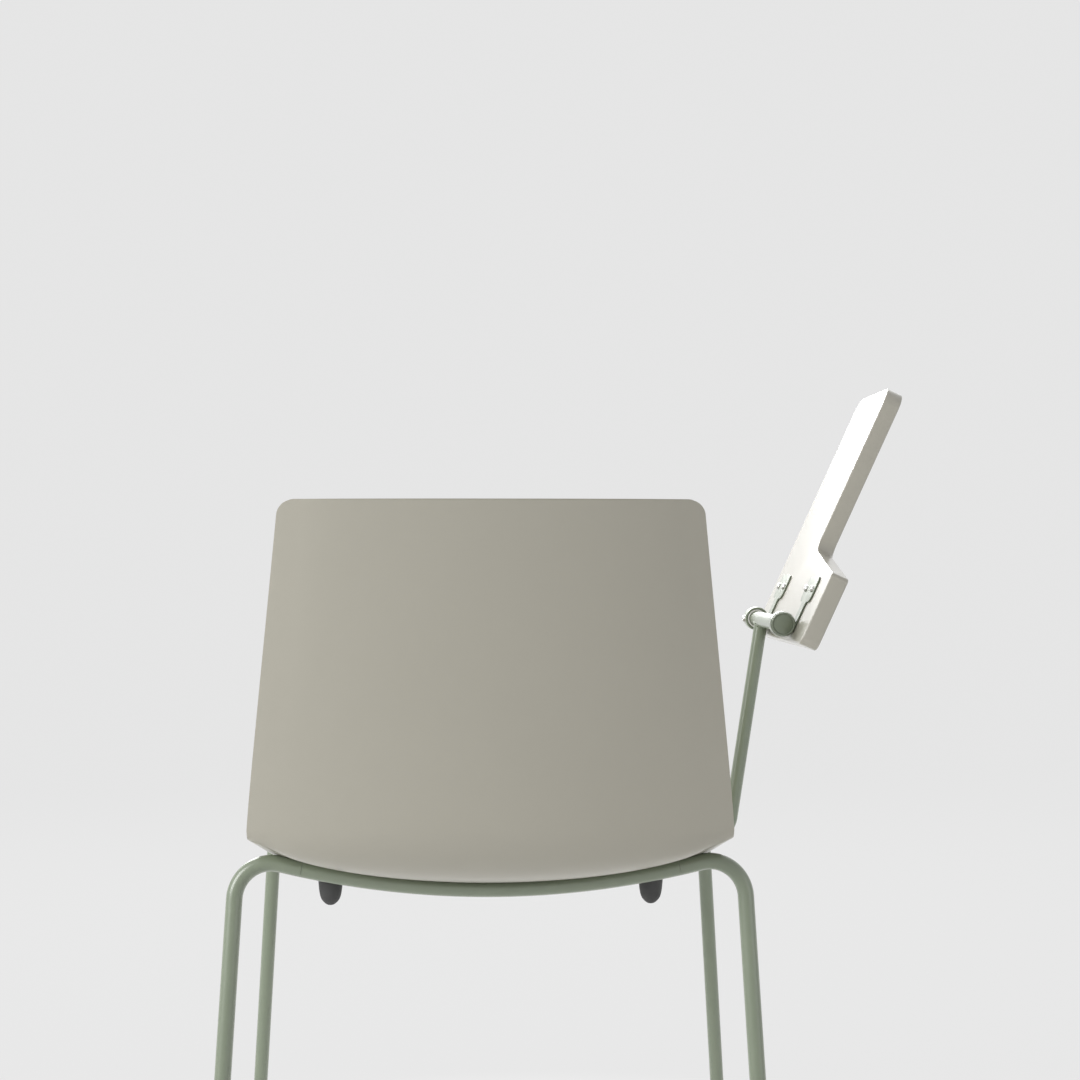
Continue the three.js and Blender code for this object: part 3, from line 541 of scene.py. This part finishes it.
def shell_rows():
    """Underside of the shell, from the top of the back to the front of the seat."""
    corner = BACK_CORNER / (EDGE_TOP - bend_at(1.0)[4])
    seat_end = LIP_START + LIP_LENGTH
    steps = SHELL_STEPS
    turns = [1 - math.cos(ARC * i / steps["corner"]) for i in range(steps["corner"] + 1)]
    rows = [(back_point, corner * turn) for turn in turns[:-1]]
    rows += [(back_point, corner + (1 - corner) * i / steps["back"]) for i in range(steps["back"])]
    rows += [(bend_point, i / steps["bend"]) for i in range(steps["bend"])]
    rows += [(seat_point, (seat_end - FRONT_CORNER) * i / steps["seat"])
             for i in range(steps["seat"])]
    rows += [(seat_point, seat_end - FRONT_CORNER * turn) for turn in reversed(turns)]
    shares = [2 * i / steps["across"] - 1 for i in range(steps["across"] + 1)]
    return np.array([[point(share, value) for share in shares] for point, value in rows])


def shell_normals(rows):
    """Directions out of the underside."""
    down = np.empty_like(rows)
    side = np.empty_like(rows)
    down[1:-1] = rows[2:] - rows[:-2]
    down[0], down[-1] = rows[1] - rows[0], rows[-1] - rows[-2]
    side[:, 1:-1] = rows[:, 2:] - rows[:, :-2]
    side[:, 0], side[:, -1] = rows[:, 1] - rows[:, 0], rows[:, -1] - rows[:, -2]
    normal = np.cross(side, down)
    normal /= np.linalg.norm(normal, axis=2, keepdims=True)
    corner_rows = SHELL_STEPS["corner"]
    normal[:corner_rows + 1] = normal[corner_rows + 1]
    return normal


def shell_sheet():
    """Shell between two sheets, with a rounded rim."""
    under = shell_rows()
    over = under + shell_normals(under) * SHELL_WALL
    tall, wide = under.shape[:2]
    loop = [(0, j) for j in range(wide - 1)] + [(i, wide - 1) for i in range(tall - 1)]
    loop += [(tall - 1, j) for j in range(wide - 1, 0, -1)]
    loop += [(i, 0) for i in range(tall - 1, 0, -1)]
    points = [*under.reshape(-1, 3), *over.reshape(-1, 3)]
    count = tall * wide
    faces = []
    for i in range(tall - 1):
        for j in range(wide - 1):
            a, d = i * wide + j, (i + 1) * wide + j
            b, c = a + 1, d + 1
            faces += [[a, b, c, d], [count + a, count + d, count + c, count + b]]
    low = np.array([under[i, j] for i, j in loop])
    high = np.array([over[i, j] for i, j in loop])
    along = np.roll(low, -1, 0) - np.roll(low, 1, 0)
    out = np.cross(high - low, along)
    out /= np.linalg.norm(out, axis=1, keepdims=True)
    bands = [[i * wide + j for i, j in loop]]
    steps = SHELL_STEPS["rim"]
    for k in range(1, steps):
        turn = math.pi * k / steps
        bands.append(list(range(len(points), len(points) + len(loop))))
        points += list(low + (high - low) * (1 - math.cos(turn)) / 2
                       + out * SHELL_WALL / 2 * math.sin(turn))
    bands.append([count + i * wide + j for i, j in loop])
    for k in range(steps):
        for m in range(len(loop)):
            n = (m + 1) % len(loop)
            faces.append([bands[k][m], bands[k][n], bands[k + 1][n], bands[k + 1][m]])
    return points, faces


def screw_boss(x, y):
    """Round boss under the shell, eased into it."""
    foot, top = BAR_TOP + GAP, seat_under(x, y)
    radius, steps = BOSS / 2, 8
    profile = [(radius - inset, foot + rise) for inset, rise in BOSS_EDGE]
    for k in range(steps + 1):
        turn = ARC * k / steps
        profile.append((radius + BOSS_EASE * (1 - math.cos(turn)),
                        top - BOSS_EASE * (1 - math.sin(turn))))
    profile.append((radius, top + SHELL_WALL / 2))
    return turned(profile, (x, y, 0), (0, 0, 1))


SCREW_SITES = [(side * BAR_X, y) for side in (-1, 1) for y in BOSS_Y]
BUMPER_SITES = [(side * BAR_X, y) for side in (-1, 1) for y in BUMPER_Y]
BAR_BOTTOM = BAR_TOP - BAR_THICK
SITE_NAMES = ["left_rear", "left_front", "right_rear", "right_front"]

# Tubes


def bar_height(leg, x):
    return leg["z"] + leg["dish"] * (x / SEAT_HALF) ** 2


def bend_centre(leg, x):
    slope = math.atan(2 * leg["dish"] * x / SEAT_HALF ** 2)
    return Vector((x + math.sin(slope) * LEG_BEND, bar_height(leg, x) - math.cos(slope) * LEG_BEND))


def half_path(leg):
    """Middle of the crossbar, round the bend and down to the foot, in the leg's own plane."""
    top = Vector((leg["top"], leg["z"] + leg["dish"]))
    foot = Vector((leg["foot"], FOOT_Z))
    along = (foot - top).normalized()
    out = Vector((-along.y, along.x))
    low, high = 0.0, leg["top"]
    while high - low > 0.001:
        x = (low + high) / 2
        if (top - bend_centre(leg, x)).dot(out) > LEG_BEND:
            low = x
        else:
            high = x
    centre = bend_centre(leg, low)
    start = Vector((low, bar_height(leg, low))) - centre
    bar = [(x, bar_height(leg, x)) for x in [low * i / BAR_STEPS for i in range(BAR_STEPS)]]
    return [*bar, *arc(centre, start, out, BEND_STEPS), tuple(foot)]


def leg_path(leg):
    half = [(x, leg["y"] + leg["lean"] * (z - leg["z"]), z) for x, z in half_path(leg)]
    return [(-x, y, z) for x, y, z in half[:0:-1]] + half


def between(path, low, high):
    """Stretch of a path between two distances to the sitter's right."""
    points = []
    for a, b in zip(path, path[1:]):
        for limit in (low, high):
            if min(a[0], b[0]) < limit < max(a[0], b[0]):
                share = (limit - a[0]) / (b[0] - a[0])
                points.append((limit, a[1] + (b[1] - a[1]) * share, a[2] + (b[2] - a[2]) * share))
        if low < b[0] < high:
            points.append(b)
    first = path[0]
    return sorted([first, *points] if low < first[0] < high else points, key=lambda p: p[0])


def leg_of(y, z, dish, beside, splay, lean):
    top = SEAT_HALF + beside
    return {"y": y, "z": z, "dish": dish, "top": top, "foot": top + splay,
            "lean": math.tan(math.radians(lean))}


FRONT_BAR_Z = BELLY_Z + SEAT_RISE - SHELL_REST - FRAME_TUBE / 2 - GAP
REAR_LEG = leg_of(REAR_BAR_Y, REAR_BAR_Z, DISH_REAR, REAR_BESIDE, REAR_SPLAY, REAR_LEAN)
FRONT_LEG = leg_of(FRONT_BAR_Y, FRONT_BAR_Z, DISH_FRONT, FRONT_BESIDE, FRONT_SPLAY, -FRONT_LEAN)
SEAM_X = SEAT_HALF - SEAM_INSIDE


def post_path():
    corner_x = SEAT_HALF + POST_BESIDE
    inner_x = BAR_X + POST_OVER_BAR
    inner_z = POST_CORNER_Z - (corner_x - inner_x) * math.tan(math.radians(POST_SLOPE))
    low, high = (inner_x, inner_z), (AXIS_X, AXIS_Z)
    line = rounded([(*low, 0.0), (corner_x, POST_CORNER_Z, POST_RADIUS), (*high, 0.0)], BEND_STEPS)
    bend = line[BEND_STEPS + 1:2 * BEND_STEPS + 2]
    return [(x, POST_Y, z) for x, z in [low, *bend, high]]


# Geometry Nodes


GEOMETRY, WHOLE, VECTOR = "NodeSocketGeometry", "NodeSocketInt", "NodeSocketVector"
OBJECT, MATERIAL = "NodeSocketObject", "NodeSocketMaterial"


def tube_tree():
    """Round tube or weld bead along a path of edges. A ripple makes the bead's scales."""
    tree, entry, leave = new_group(
        "tube along a path",
        [("Geometry", GEOMETRY, None), ("Radius", FLOAT, 0.008), ("Sides", WHOLE, 48),
         ("Ripple", FLOAT, 0.0), ("Ripple length", FLOAT, 0.002), ("Material", MATERIAL, None)],
        [("Geometry", GEOMETRY)], "GeometryNodeTree")
    given = entry.outputs
    line = nodes_of(tree, "GeometryNodeMeshToCurve", (-650, 250))
    tree.links.new(given["Geometry"], line.inputs[0])
    run = nodes_of(tree, "GeometryNodeSplineParameter", (-900, -250)).outputs["Length"]
    ratio = maths(tree, (-700, -250), "DIVIDE", run, given["Ripple length"])
    wave = maths(tree, (-520, -250), "SINE", ratio)
    swell = maths(tree, (-340, -250), "MULTIPLY_ADD", wave, given["Ripple"], 1.0)
    ring = nodes_of(tree, "GeometryNodeCurvePrimitiveCircle", (-400, 0), mode="RADIUS")
    set_sockets(ring, Resolution=given["Sides"], Radius=given["Radius"])
    tube = nodes_of(tree, "GeometryNodeCurveToMesh", (-150, 150))
    set_sockets(tube, Curve=line.outputs[0], Profile_Curve=ring.outputs["Curve"], Scale=swell,
                Fill_Caps=True)
    closing_nodes(tree, tube.outputs[0], entry, leave)
    return tree


def closing_nodes(tree, made, entry, leave):
    """Last nodes of a tree: smooth faces, realized, with the material."""
    for kind, at in (("GeometryNodeSetShadeSmooth", 50), ("GeometryNodeRealizeInstances", 220),
                     ("GeometryNodeSetMaterial", 400)):
        last = set_sockets(nodes_of(tree, kind, (at, 100)), Geometry=made)
        made = last.outputs["Geometry"]
    set_sockets(last, Material=entry.outputs["Material"])
    set_sockets(leave, Geometry=made)


def repeat_tree():
    """One piece repeated on points, all facing one way, each turned about itself by chance."""
    tree, entry, leave = new_group(
        "piece on points",
        [("Geometry", GEOMETRY, None), ("Piece", OBJECT, None), ("Facing", VECTOR, (0, 0, 0)),
         ("Seed", WHOLE, 3), ("Material", MATERIAL, None)],
        [("Geometry", GEOMETRY)], "GeometryNodeTree")
    given, link = entry.outputs, tree.links.new
    source = nodes_of(tree, "GeometryNodeObjectInfo", (-650, -100))
    set_sockets(source, Object=given["Piece"])
    facing = nodes_of(tree, "FunctionNodeEulerToRotation", (-650, -350))
    link(given["Facing"], facing.inputs[0])
    chance = nodes_of(tree, "FunctionNodeRandomValue", (-850, -550), data_type="FLOAT")
    chance.inputs[3].default_value = math.tau
    set_sockets(chance, Seed=given["Seed"])
    about = set_sockets(nodes_of(tree, "ShaderNodeCombineXYZ", (-650, -550)), Z=chance.outputs[1])
    spin = nodes_of(tree, "FunctionNodeEulerToRotation", (-480, -550))
    link(about.outputs[0], spin.inputs[0])
    both = nodes_of(tree, "FunctionNodeRotateRotation", (-300, -400), rotation_space="LOCAL")
    link(facing.outputs[0], both.inputs[0])
    link(spin.outputs[0], both.inputs[1])
    place = nodes_of(tree, "GeometryNodeInstanceOnPoints", (-150, 100))
    set_sockets(place, Points=given["Geometry"], Instance=source.outputs["Geometry"],
                Rotation=both.outputs[0])
    closing_nodes(tree, place.outputs[0], entry, leave)
    return tree


TUBES, REPEATS = tube_tree(), repeat_tree()


def made_by(name, tree, source, slot, **values):
    """Object whose mesh a Geometry Nodes tree made from a source mesh."""
    values["Material"] = FINISHES[slot]
    piece = placed(name, source)
    maker = piece.modifiers.new("maker", "NODES")
    maker.node_group = tree
    for item in tree.interface.items_tree:
        key = item.name.replace(" ", "_")
        if item.in_out == "INPUT" and key in values:
            maker[item.identifier] = values[key]
    depsgraph = bpy.context.evaluated_depsgraph_get()
    made = bpy.data.meshes.new_from_object(piece.evaluated_get(depsgraph))
    piece.modifiers.remove(maker)
    piece.data = finished(made, TREE_CREASE)
    return piece


def paths_mesh(name, paths, closed=False):
    """Edges along paths in the chair's millimetres."""
    points, edges = [], []
    for path in paths:
        start = len(points)
        points += list(to_row(path))
        edges += [(start + i, start + i + 1) for i in range(len(path) - 1)]
        if closed:
            edges.append((start + len(path) - 1, start))
    return mesh_of(name + "_path", points, edges)


def tube_piece(name, path, diameter, node):
    tube = made_by(name, TUBES, paths_mesh(name, [path]), "frame_paint",
                   Radius=diameter / 2 * MM, Sides=64, Ripple=0.0)
    return piece_of(name, tube, "frame_paint", "chair", node)


def weld_piece(name, paths, radius, ripple, closed=False):
    """Beads along paths. They stand for no CAD node."""
    beads = made_by(name, TUBES, paths_mesh(name, paths, closed), "frame_paint",
                    Radius=radius * MM, Sides=12, Ripple=ripple, Ripple_length=RIPPLE_LENGTH * MM)
    return piece_of(name, beads, "frame_paint", "chair")


def repeated_piece(name, part, places, facing, slot, body, nodes, seed=3):
    """Piece made about the origin, then repeated on places in the row frame."""
    points, faces = part
    own = mesh_of(name + "_one", [Vector(p) * MM for p in points], faces=faces)
    one = placed(name + "_one", finished(own, PART_CREASE))
    sites = mesh_of(name + "_places", places)
    turn = Vector(facing).to_track_quat("Z", "Y").to_euler()
    piece = made_by(name, REPEATS, sites, slot, Piece=one, Facing=tuple(turn), Seed=seed)
    bpy.data.objects.remove(one)
    return piece_of(name, piece, slot, body, *nodes)


# Fasteners


def button_screw(head, head_height, shank, length):
    """Button-head screw pointing up, its head's flat side at the origin, with a hexagon socket."""
    radius, flat = SOCKET / 2, SOCKET / 2 * FLAT_SHARE
    turns = [math.tau * j / SCREW_SIDES for j in range(SCREW_SIDES)]

    def ring(size, height):
        return [(size * math.cos(turn), size * math.sin(turn), height) for turn in turns]

    def hexagon(size, height):
        points = []
        for turn in turns:
            reach = size * math.cos(math.pi / 6) / math.cos(turn % (math.pi / 3) - math.pi / 6)
            points.append((reach * math.cos(turn), reach * math.sin(turn), height))
        return points

    wide, deep = FLOOR_SHARES
    rings = [hexagon(radius * wide, SOCKET_DEPTH * deep - head_height),
             hexagon(radius, SOCKET_DEPTH - head_height), hexagon(radius, SOCKET_LIP - head_height),
             hexagon(radius * LIP_SHARE, -head_height)]
    rings += [ring(flat + (head / 2 - flat) * out, -head_height * tall)
              for out, tall in HEAD_SHARES]
    rings += [ring(head / 2, 0.0), ring(shank / 2, 0.0), ring(shank / 2, length - shank / 4),
              ring(shank / 4, length)]
    return skin(rings)


# Tablet

TURN = math.radians(FOLD_ANGLE)
UNDERSIDE = -(BARREL / 2 + GAP)
PLATE_TOP = UNDERSIDE + GAP + PLATE


def on_tablet(v, w, h):
    """Place on the tablet: across the board, forward and out of its underside."""
    return (AXIS_X + math.cos(TURN) * v - math.sin(TURN) * h, w,
            AXIS_Z + math.sin(TURN) * v + math.cos(TURN) * h)


def pad_screws(barrel):
    middle = barrel[0] + ARM_DEPTH / 2
    across = (PAD[0] + PAD[1]) / 2 - BOARD_OVER
    return [(across, middle + side * PAD_SCREW_SPAN) for side in (-1, 1)]


def board_part():
    outline = rounded([(v - BOARD_OVER, w, radius) for v, w, radius in BOARD_CORNERS], steps=16)
    return plate(outline, UNDERSIDE - BOARD_THICK, UNDERSIDE, BOARD_EDGE, on_tablet, steps=6)


def bracket_part(barrel):
    """Barrel with its arm and screw pad, their edges eased."""
    start, end = barrel
    bore, outer, ease = AXLE / 2 + BUSH_WALL + 2 * GAP, BARREL / 2, BARREL_EASE
    profile = [(bore, ease), (bore + ease, 0), (outer - ease, 0),
               (outer - BARREL_BEVEL, BARREL_BEVEL), (outer, ease)]
    profile += [(radius, end - start - height) for radius, height in reversed(profile)]
    tube = turned(profile, (AXIS_X, start, AXIS_Z), (0, 1, 0), sides=96, ring_shaped=True)
    middle = start + ARM_DEPTH / 2
    near, far, pad_low = PAD[0] - BOARD_OVER, PAD[1] - BOARD_OVER, middle - PAD_DEPTH / 2
    corners = [(0, start, ARM_END_CORNER), (near, start, ARM_CORNER), (near, pad_low, PAD_CORNER),
               (far, pad_low, PAD_CORNER)]
    corners += [(v, 2 * middle - w, radius) for v, w, radius in reversed(corners)]
    outline = rounded(corners, steps=10)
    flat = plate(outline, UNDERSIDE + GAP, PLATE_TOP, PLATE_EDGE, on_tablet, steps=4)
    return joined(tube, flat)


def cap_part(face, way):
    """Plug that closes a barrel: a disc let in a little, a ring groove and a rim."""
    outer, plug = CAP / 2, AXLE / 2 + BUSH_WALL + GAP
    front = [(outer - inset, CAP_THICK - depth) for inset, depth in CAP_FACE]
    profile = [(CAP_MIDDLE, CAP_THICK - CAP_DISH), *front, (outer, 0), (plug, 0), (plug, -CAP_PLUG),
               (CAP_MIDDLE, -CAP_PLUG)]
    return turned(profile, (AXIS_X, face, AXIS_Z), (0, way, 0), sides=96)


def bush_part(start, end):
    inner, ease = AXLE / 2 + GAP, BUSH_EASE
    outer = inner + BUSH_WALL
    profile = [(inner, ease), (inner + ease, 0), (outer - ease, 0), (outer, ease),
               (outer, end - start), (inner, end - start)]
    return turned(profile, (AXIS_X, start, AXIS_Z), (0, 1, 0), ring_shaped=True)


# Rubber and plastic on the frame


def bumper_part():
    """Rubber bumper about its own tip, pointing up."""
    wide, top = BUMPER / 2, BAR_BOTTOM - GAP - BUMPER_TIP
    side = eased([(share * wide, rise * top) for share, rise in BUMPER_SHARES], steps=6)
    rim = [(wide - inset, top - depth) for inset, depth in BUMPER_RIM]
    neck, barb, over = BUMPER_NECK / 2, BUMPER_BARB / 2, BAR_TOP + GAP - BUMPER_TIP
    tip, (near_share, tip_share) = over + BARB_HEIGHT, BARB_SHARES
    profile = [*side[1:-2], *rim, (neck, top), (neck, over), (barb, over),
               (barb - BARB_BEVEL, over + BARB_RISE), (neck * near_share, tip - BARB_BEVEL),
               (neck * tip_share, tip)]
    return turned(profile, (0, 0, 0), (0, 0, 1))


def glide_part(foot, away):
    """Glide cupped round a leg's end, flat on the ground."""
    outer, cup = GLIDE / 2, FRAME_TUBE / 2 + GAP
    top = GLIDE_HEIGHT - GLIDE_FLOOR
    profile = [(outer, -GLIDE_FLOOR - outer)]
    profile += [(outer - inset, top - depth) for inset, depth in GLIDE_RIBS]
    profile += [(cup + GLIDE_EASE, top), (cup, top - GLIDE_EASE), (cup, 0.0)]
    points, faces = turned(profile, foot, away, sides=96)
    shape = bmesh.new()
    own = [shape.verts.new(p) for p in points]
    for face in faces:
        shape.faces.new([own[i] for i in face])
    geometry = [*shape.verts, *shape.edges, *shape.faces]
    cut = bmesh.ops.bisect_plane(shape, geom=geometry, plane_co=(0, 0, 0), plane_no=(0, 0, -1),
                                 clear_outer=True)
    rim = [e for e in cut["geom_cut"] if isinstance(e, bmesh.types.BMEdge)]
    bmesh.ops.edgeloop_fill(shape, edges=rim)
    shape.verts.index_update()
    part = [v.co.copy() for v in shape.verts], [[v.index for v in f.verts] for f in shape.faces]
    shape.free()
    return part


# Welds


def bar_welds():
    """Beads where the flat bars meet the crossbars, over and under the bar."""
    beads = []
    for leg, way in ((REAR_LEG, 1), (FRONT_LEG, -1)):
        for side in (-1, 1):
            for level in (BAR_TOP, BAR_BOTTOM):
                bead = []
                for i in range(WELD_STEPS + 1):
                    x = side * BAR_X + (i / WELD_STEPS - 0.5) * BAR_WIDTH
                    z = bar_height(leg, x)
                    if abs(level - z) < FRAME_TUBE / 2 - WELD_MARGIN:
                        y = leg["y"] + leg["lean"] * (z - leg["z"])
                        reach = math.sqrt(FRAME_TUBE ** 2 / 4 - (level - z) ** 2)
                        bead.append((x, y + way * reach, level))
                if len(bead) >= FEWEST:
                    beads.append(bead)
    return beads


def post_welds():
    """Beads along the post where it sits over the seat bar."""
    (x0, _, z0), (x1, _, z1) = post_path()[:2]
    beads, slant = [], math.cos(math.radians(POST_SLOPE))
    for level in (BAR_TOP, BAR_BOTTOM):
        for side in (-1, 1):
            bead = []
            for i in range(POST_WELD_STEPS + 1):
                x = x0 + (BAR_X + BAR_WIDTH / 2 - x0) * i / POST_WELD_STEPS
                drop = (level - (z0 + (z1 - z0) * (x - x0) / (x1 - x0))) * slant
                reach = math.sqrt(max(POST_TUBE ** 2 / 4 - drop ** 2, LEAST_REACH ** 2))
                bead.append((x, POST_Y + side * reach, level))
            beads.append(bead)
    return beads


def axle_weld():
    """Bead round the post's end on the axle."""
    before, tip = [Vector(place) for place in post_path()[-2:]]
    along = (tip - before).normalized()
    side = Vector((0, 1, 0)).cross(along)
    radius, bead = POST_TUBE / 2, []
    for i in range(AXLE_WELD_STEPS):
        turn = math.tau * i / AXLE_WELD_STEPS
        reach = radius * math.cos(turn)
        back = math.sqrt(AXLE ** 2 / 4 - reach ** 2) + WELD_STAND
        bead.append(tip - along * back + side * reach + Vector((0, radius * math.sin(turn), 0)))
    return bead


# The chair's pieces

shell_part = joined(shell_sheet(), *[screw_boss(x, y) for x, y in SCREW_SITES])
solid_piece("moulded_shell", shell_part, "shell_plastic", "chair", "seat_shell",
            crease=SHELL_CREASE)

seam_in, seam_out = SEAM_X - GAP / 2, SEAM_X + GAP / 2
for end, leg in (("rear", REAR_LEG), ("front", FRONT_LEG)):
    for node, low, high in ((f"{end}_crossbar", -seam_in, seam_in),
                            (f"left_{end}_leg", -BEYOND, -seam_out),
                            (f"right_{end}_leg", seam_out, BEYOND)):
        tube_piece(f"{node}_tube", between(leg_path(leg), low, high), FRAME_TUBE, node)
tube_piece("bent_post", post_path(), POST_TUBE, "tablet_post")
axle_path = [(AXIS_X, y, AXIS_Z) for y in (AXLE_END_Y, AXLE_FRONT_Y)]
tube_piece("axle_tube", axle_path, AXLE, "hinge_axle")

rear, front = REAR_BAR_Y + BAR_INSET, FRONT_BAR_Y - BAR_INSET
for side, x in (("left", -BAR_X), ("right", BAR_X)):
    low, high = x - BAR_WIDTH / 2, x + BAR_WIDTH / 2
    corners = [(low, rear), (high, rear), (high, front), (low, front)]
    outline = rounded([(*corner, BAR_CORNER) for corner in corners], steps=3)
    strip = plate(outline, BAR_BOTTOM, BAR_TOP, BAR_EDGE, lambda u, v, h: (u, v, h))
    solid_piece(f"{side}_flat_bar", strip, "frame_paint", "chair", f"{side}_seat_bar")

weld_piece("bar_weld_beads", [*bar_welds(), *post_welds()], WELD, WELD_RIPPLE)
weld_piece("axle_weld_bead", [axle_weld()], AXLE_WELD, AXLE_RIPPLE, closed=True)

repeated_piece("shell_screws",
               button_screw(SCREW_HEAD, SCREW_HEAD_HEIGHT, SCREW_SHANK, SCREW_LENGTH),
               [spot(x, y, BAR_BOTTOM - GAP) for x, y in SCREW_SITES], (0, 0, 1), "screw_steel",
               "chair", [f"shell_screw_{name}" for name in SITE_NAMES])
repeated_piece("stacking_bumpers", bumper_part(),
               [spot(x, y, BUMPER_TIP) for x, y in BUMPER_SITES], (0, 0, 1), "bumper_rubber",
               "chair", [f"bumper_{name}" for name in SITE_NAMES], seed=7)

feet = []
for leg in (REAR_LEG, FRONT_LEG):
    path = leg_path(leg)
    feet += [glide_part(path[0], Vector(path[1]) - Vector(path[0])),
             glide_part(path[-1], Vector(path[-2]) - Vector(path[-1]))]
solid_piece("foot_glides", joined(*feet), "glide_plastic", "chair",
            *[f"glide_{name}" for name in SITE_NAMES])

# The tablet's pieces

solid_piece("writing_board", board_part(), "tablet_plastic", "tablet", "tablet_board",
            crease=TABLET_CREASE)
barrels = {"rear": REAR_BARREL, "front": FRONT_BARREL}
for end, barrel in barrels.items():
    solid_piece(f"{end}_hinge_bracket", bracket_part(barrel), "frame_paint", "tablet",
                f"bracket_{end}", crease=TABLET_CREASE)
caps = joined(cap_part(REAR_BARREL[0] - GAP, -1), cap_part(FRONT_BARREL[1] + GAP, 1))
solid_piece("barrel_caps", caps, "frame_paint", "tablet", "cap_rear", "cap_front",
            crease=TABLET_CREASE)
bushes = joined(bush_part(AXLE_END_Y, REAR_BARREL[1]), bush_part(FRONT_BARREL[0], AXLE_FRONT_Y))
solid_piece("barrel_bushes", bushes, "bush_plastic", "tablet", "bush_rear", "bush_front",
            crease=TABLET_CREASE)
pad_sites = [spot(*on_tablet(v, w, PLATE_TOP + GAP)) for barrel in barrels.values()
             for v, w in pad_screws(barrel)]
repeated_piece("pad_screws",
               button_screw(PAD_HEAD, PAD_HEAD_HEIGHT, PAD_SHANK, PAD_SCREW_LENGTH - GAP),
               pad_sites, (-math.sin(TURN), 0, -math.cos(TURN)), "screw_steel", "tablet",
               [f"pad_screw_{end}_{i}" for end in barrels for i in (1, 2)], seed=5)
repeated_piece("stop_screw",
               button_screw(STOP_HEAD, SCREW_HEAD_HEIGHT, STOP_SHANK, STOP_SEAT + GAP - STOP_TIP),
               [spot(AXIS_X - STOP_SEAT - GAP, STOP_Y, AXIS_Z)], (-1, 0, 0), "screw_steel",
               "tablet", ["hinge_stop_screw"], seed=2)

# Stage, light and camera


def seen_rays(tree, path, at):
    """One for rays from the camera and for reflections, zero for light."""
    return maths(tree, at, "MAXIMUM", path.outputs["Is Camera Ray"], path.outputs["Is Glossy Ray"])


def glow_strength(tree, path, at):
    """Strength of the pale studio, more in reflections than for the camera."""
    return ranged(tree, at, Value=path.outputs["Is Glossy Ray"], To_Min=1.0, To_Max=GLOSS_GLOW)


def stage_material():
    """Pale ground that the camera sees as the plain studio grey, with the chair's shadow on it."""
    material = bpy.data.materials.new("pale studio ground")
    material.use_nodes = True
    tree = material.node_tree
    link = tree.links.new
    shader = tree.nodes["Principled BSDF"]
    set_sockets(shader, Base_Color=(0.8, 0.8, 0.8, 1), Roughness=0.9)
    path = nodes_of(tree, "ShaderNodeLightPath", (-600, 300))
    glow = set_sockets(nodes_of(tree, "ShaderNodeEmission", (-200, -300)), Color=GROUND_GREY,
                       Strength=glow_strength(tree, path, (-400, -300)))
    place = nodes_of(tree, "ShaderNodeTexCoord", (-1000, 0))
    away = nodes_of(tree, "ShaderNodeVectorMath", (-800, 0), operation="LENGTH")
    link(place.outputs["Object"], away.inputs[0])
    far = ranged(tree, (-600, 0), Value=away.outputs["Value"], From_Min=PLAIN_FROM,
                 From_Max=PLAIN_TO, To_Min=NEAR_SHARE, To_Max=FAR_SHARE)
    share = maths(tree, (-200, 300), "MULTIPLY", seen_rays(tree, path, (-400, 300)), far)
    mix = nodes_of(tree, "ShaderNodeMixShader", (100, 100))
    link(share, mix.inputs[0])
    link(shader.outputs[0], mix.inputs[1])
    link(glow.outputs[0], mix.inputs[2])
    link(mix.outputs[0], tree.nodes["Material Output"].inputs["Surface"])
    return material


def build_stage():
    """Ground with a curved rise into a wall, in metres."""
    half, wide, wall, sweep, steps = 9.0, 14.4, 9.0, 2.0, 12
    profile = [(half, 0.0)]
    for i in range(steps + 1):
        turn = math.pi / 2 * i / steps
        profile.append((-half + sweep - sweep * math.sin(turn), sweep - sweep * math.cos(turn)))
    profile.append((-half, wall))
    points = [(x, y, z) for y, z in profile for x in (-wide, wide)]
    faces = [(2 * i, 2 * i + 1, 2 * i + 3, 2 * i + 2) for i in range(len(profile) - 1)]
    mesh = mesh_of("studio_ground", points, faces=faces)
    mesh.shade_smooth()
    mesh.materials.append(stage_material())
    ground = placed("studio_ground", mesh)


def soft_light(name, place, target, size, power):
    data = bpy.data.lights.new(name, "AREA")
    data.shape = "RECTANGLE"
    data.size, data.size_y = size
    data.energy = power
    lamp = placed(name, data)
    lamp.location = place
    lamp.rotation_euler = (Vector(target) - Vector(place)).to_track_quat("-Z", "Y").to_euler()


def build_world():
    world = bpy.data.worlds.new("studio air")
    world.use_nodes = True
    tree = world.node_tree
    path = nodes_of(tree, "ShaderNodeLightPath", (-700, 200))
    every = maths(tree, (-350, 200), "MAXIMUM", seen_rays(tree, path, (-500, 200)),
                  path.outputs["Is Transmission Ray"])
    tone = nodes_of(tree, "ShaderNodeMix", (-200, 0), data_type="RGBA")
    tone.inputs[6].default_value, tone.inputs[7].default_value = AIR_LIGHT, AIR_GREY
    set_sockets(tone, Factor=every)
    set_sockets(tree.nodes["Background"], Color=tone.outputs[2],
                Strength=glow_strength(tree, path, (-200, -300)))
    bpy.context.scene.world = world


def build_camera():
    data = bpy.data.cameras.new("camera")
    data.sensor_width = SENSOR
    data.lens = FOCAL_PIXELS / IMAGE_PIXELS * SENSOR
    camera = placed("camera", data)
    camera.location = spot(*CAMERA_PLACE)
    yaw = math.atan((IMAGE_PIXELS / 2 - LEVEL_PIXELS[0]) / FOCAL_PIXELS)
    pitch = math.atan((LEVEL_PIXELS[1] - IMAGE_PIXELS / 2) / FOCAL_PIXELS)
    camera.rotation_euler = (math.pi / 2 + pitch, 0, math.pi - yaw)
    bpy.context.scene.camera = camera


build_stage()
build_world()
for name, light in LIGHTS.items():
    soft_light(name, *light)
build_camera()
bpy.context.scene.view_settings.view_transform = "Standard"
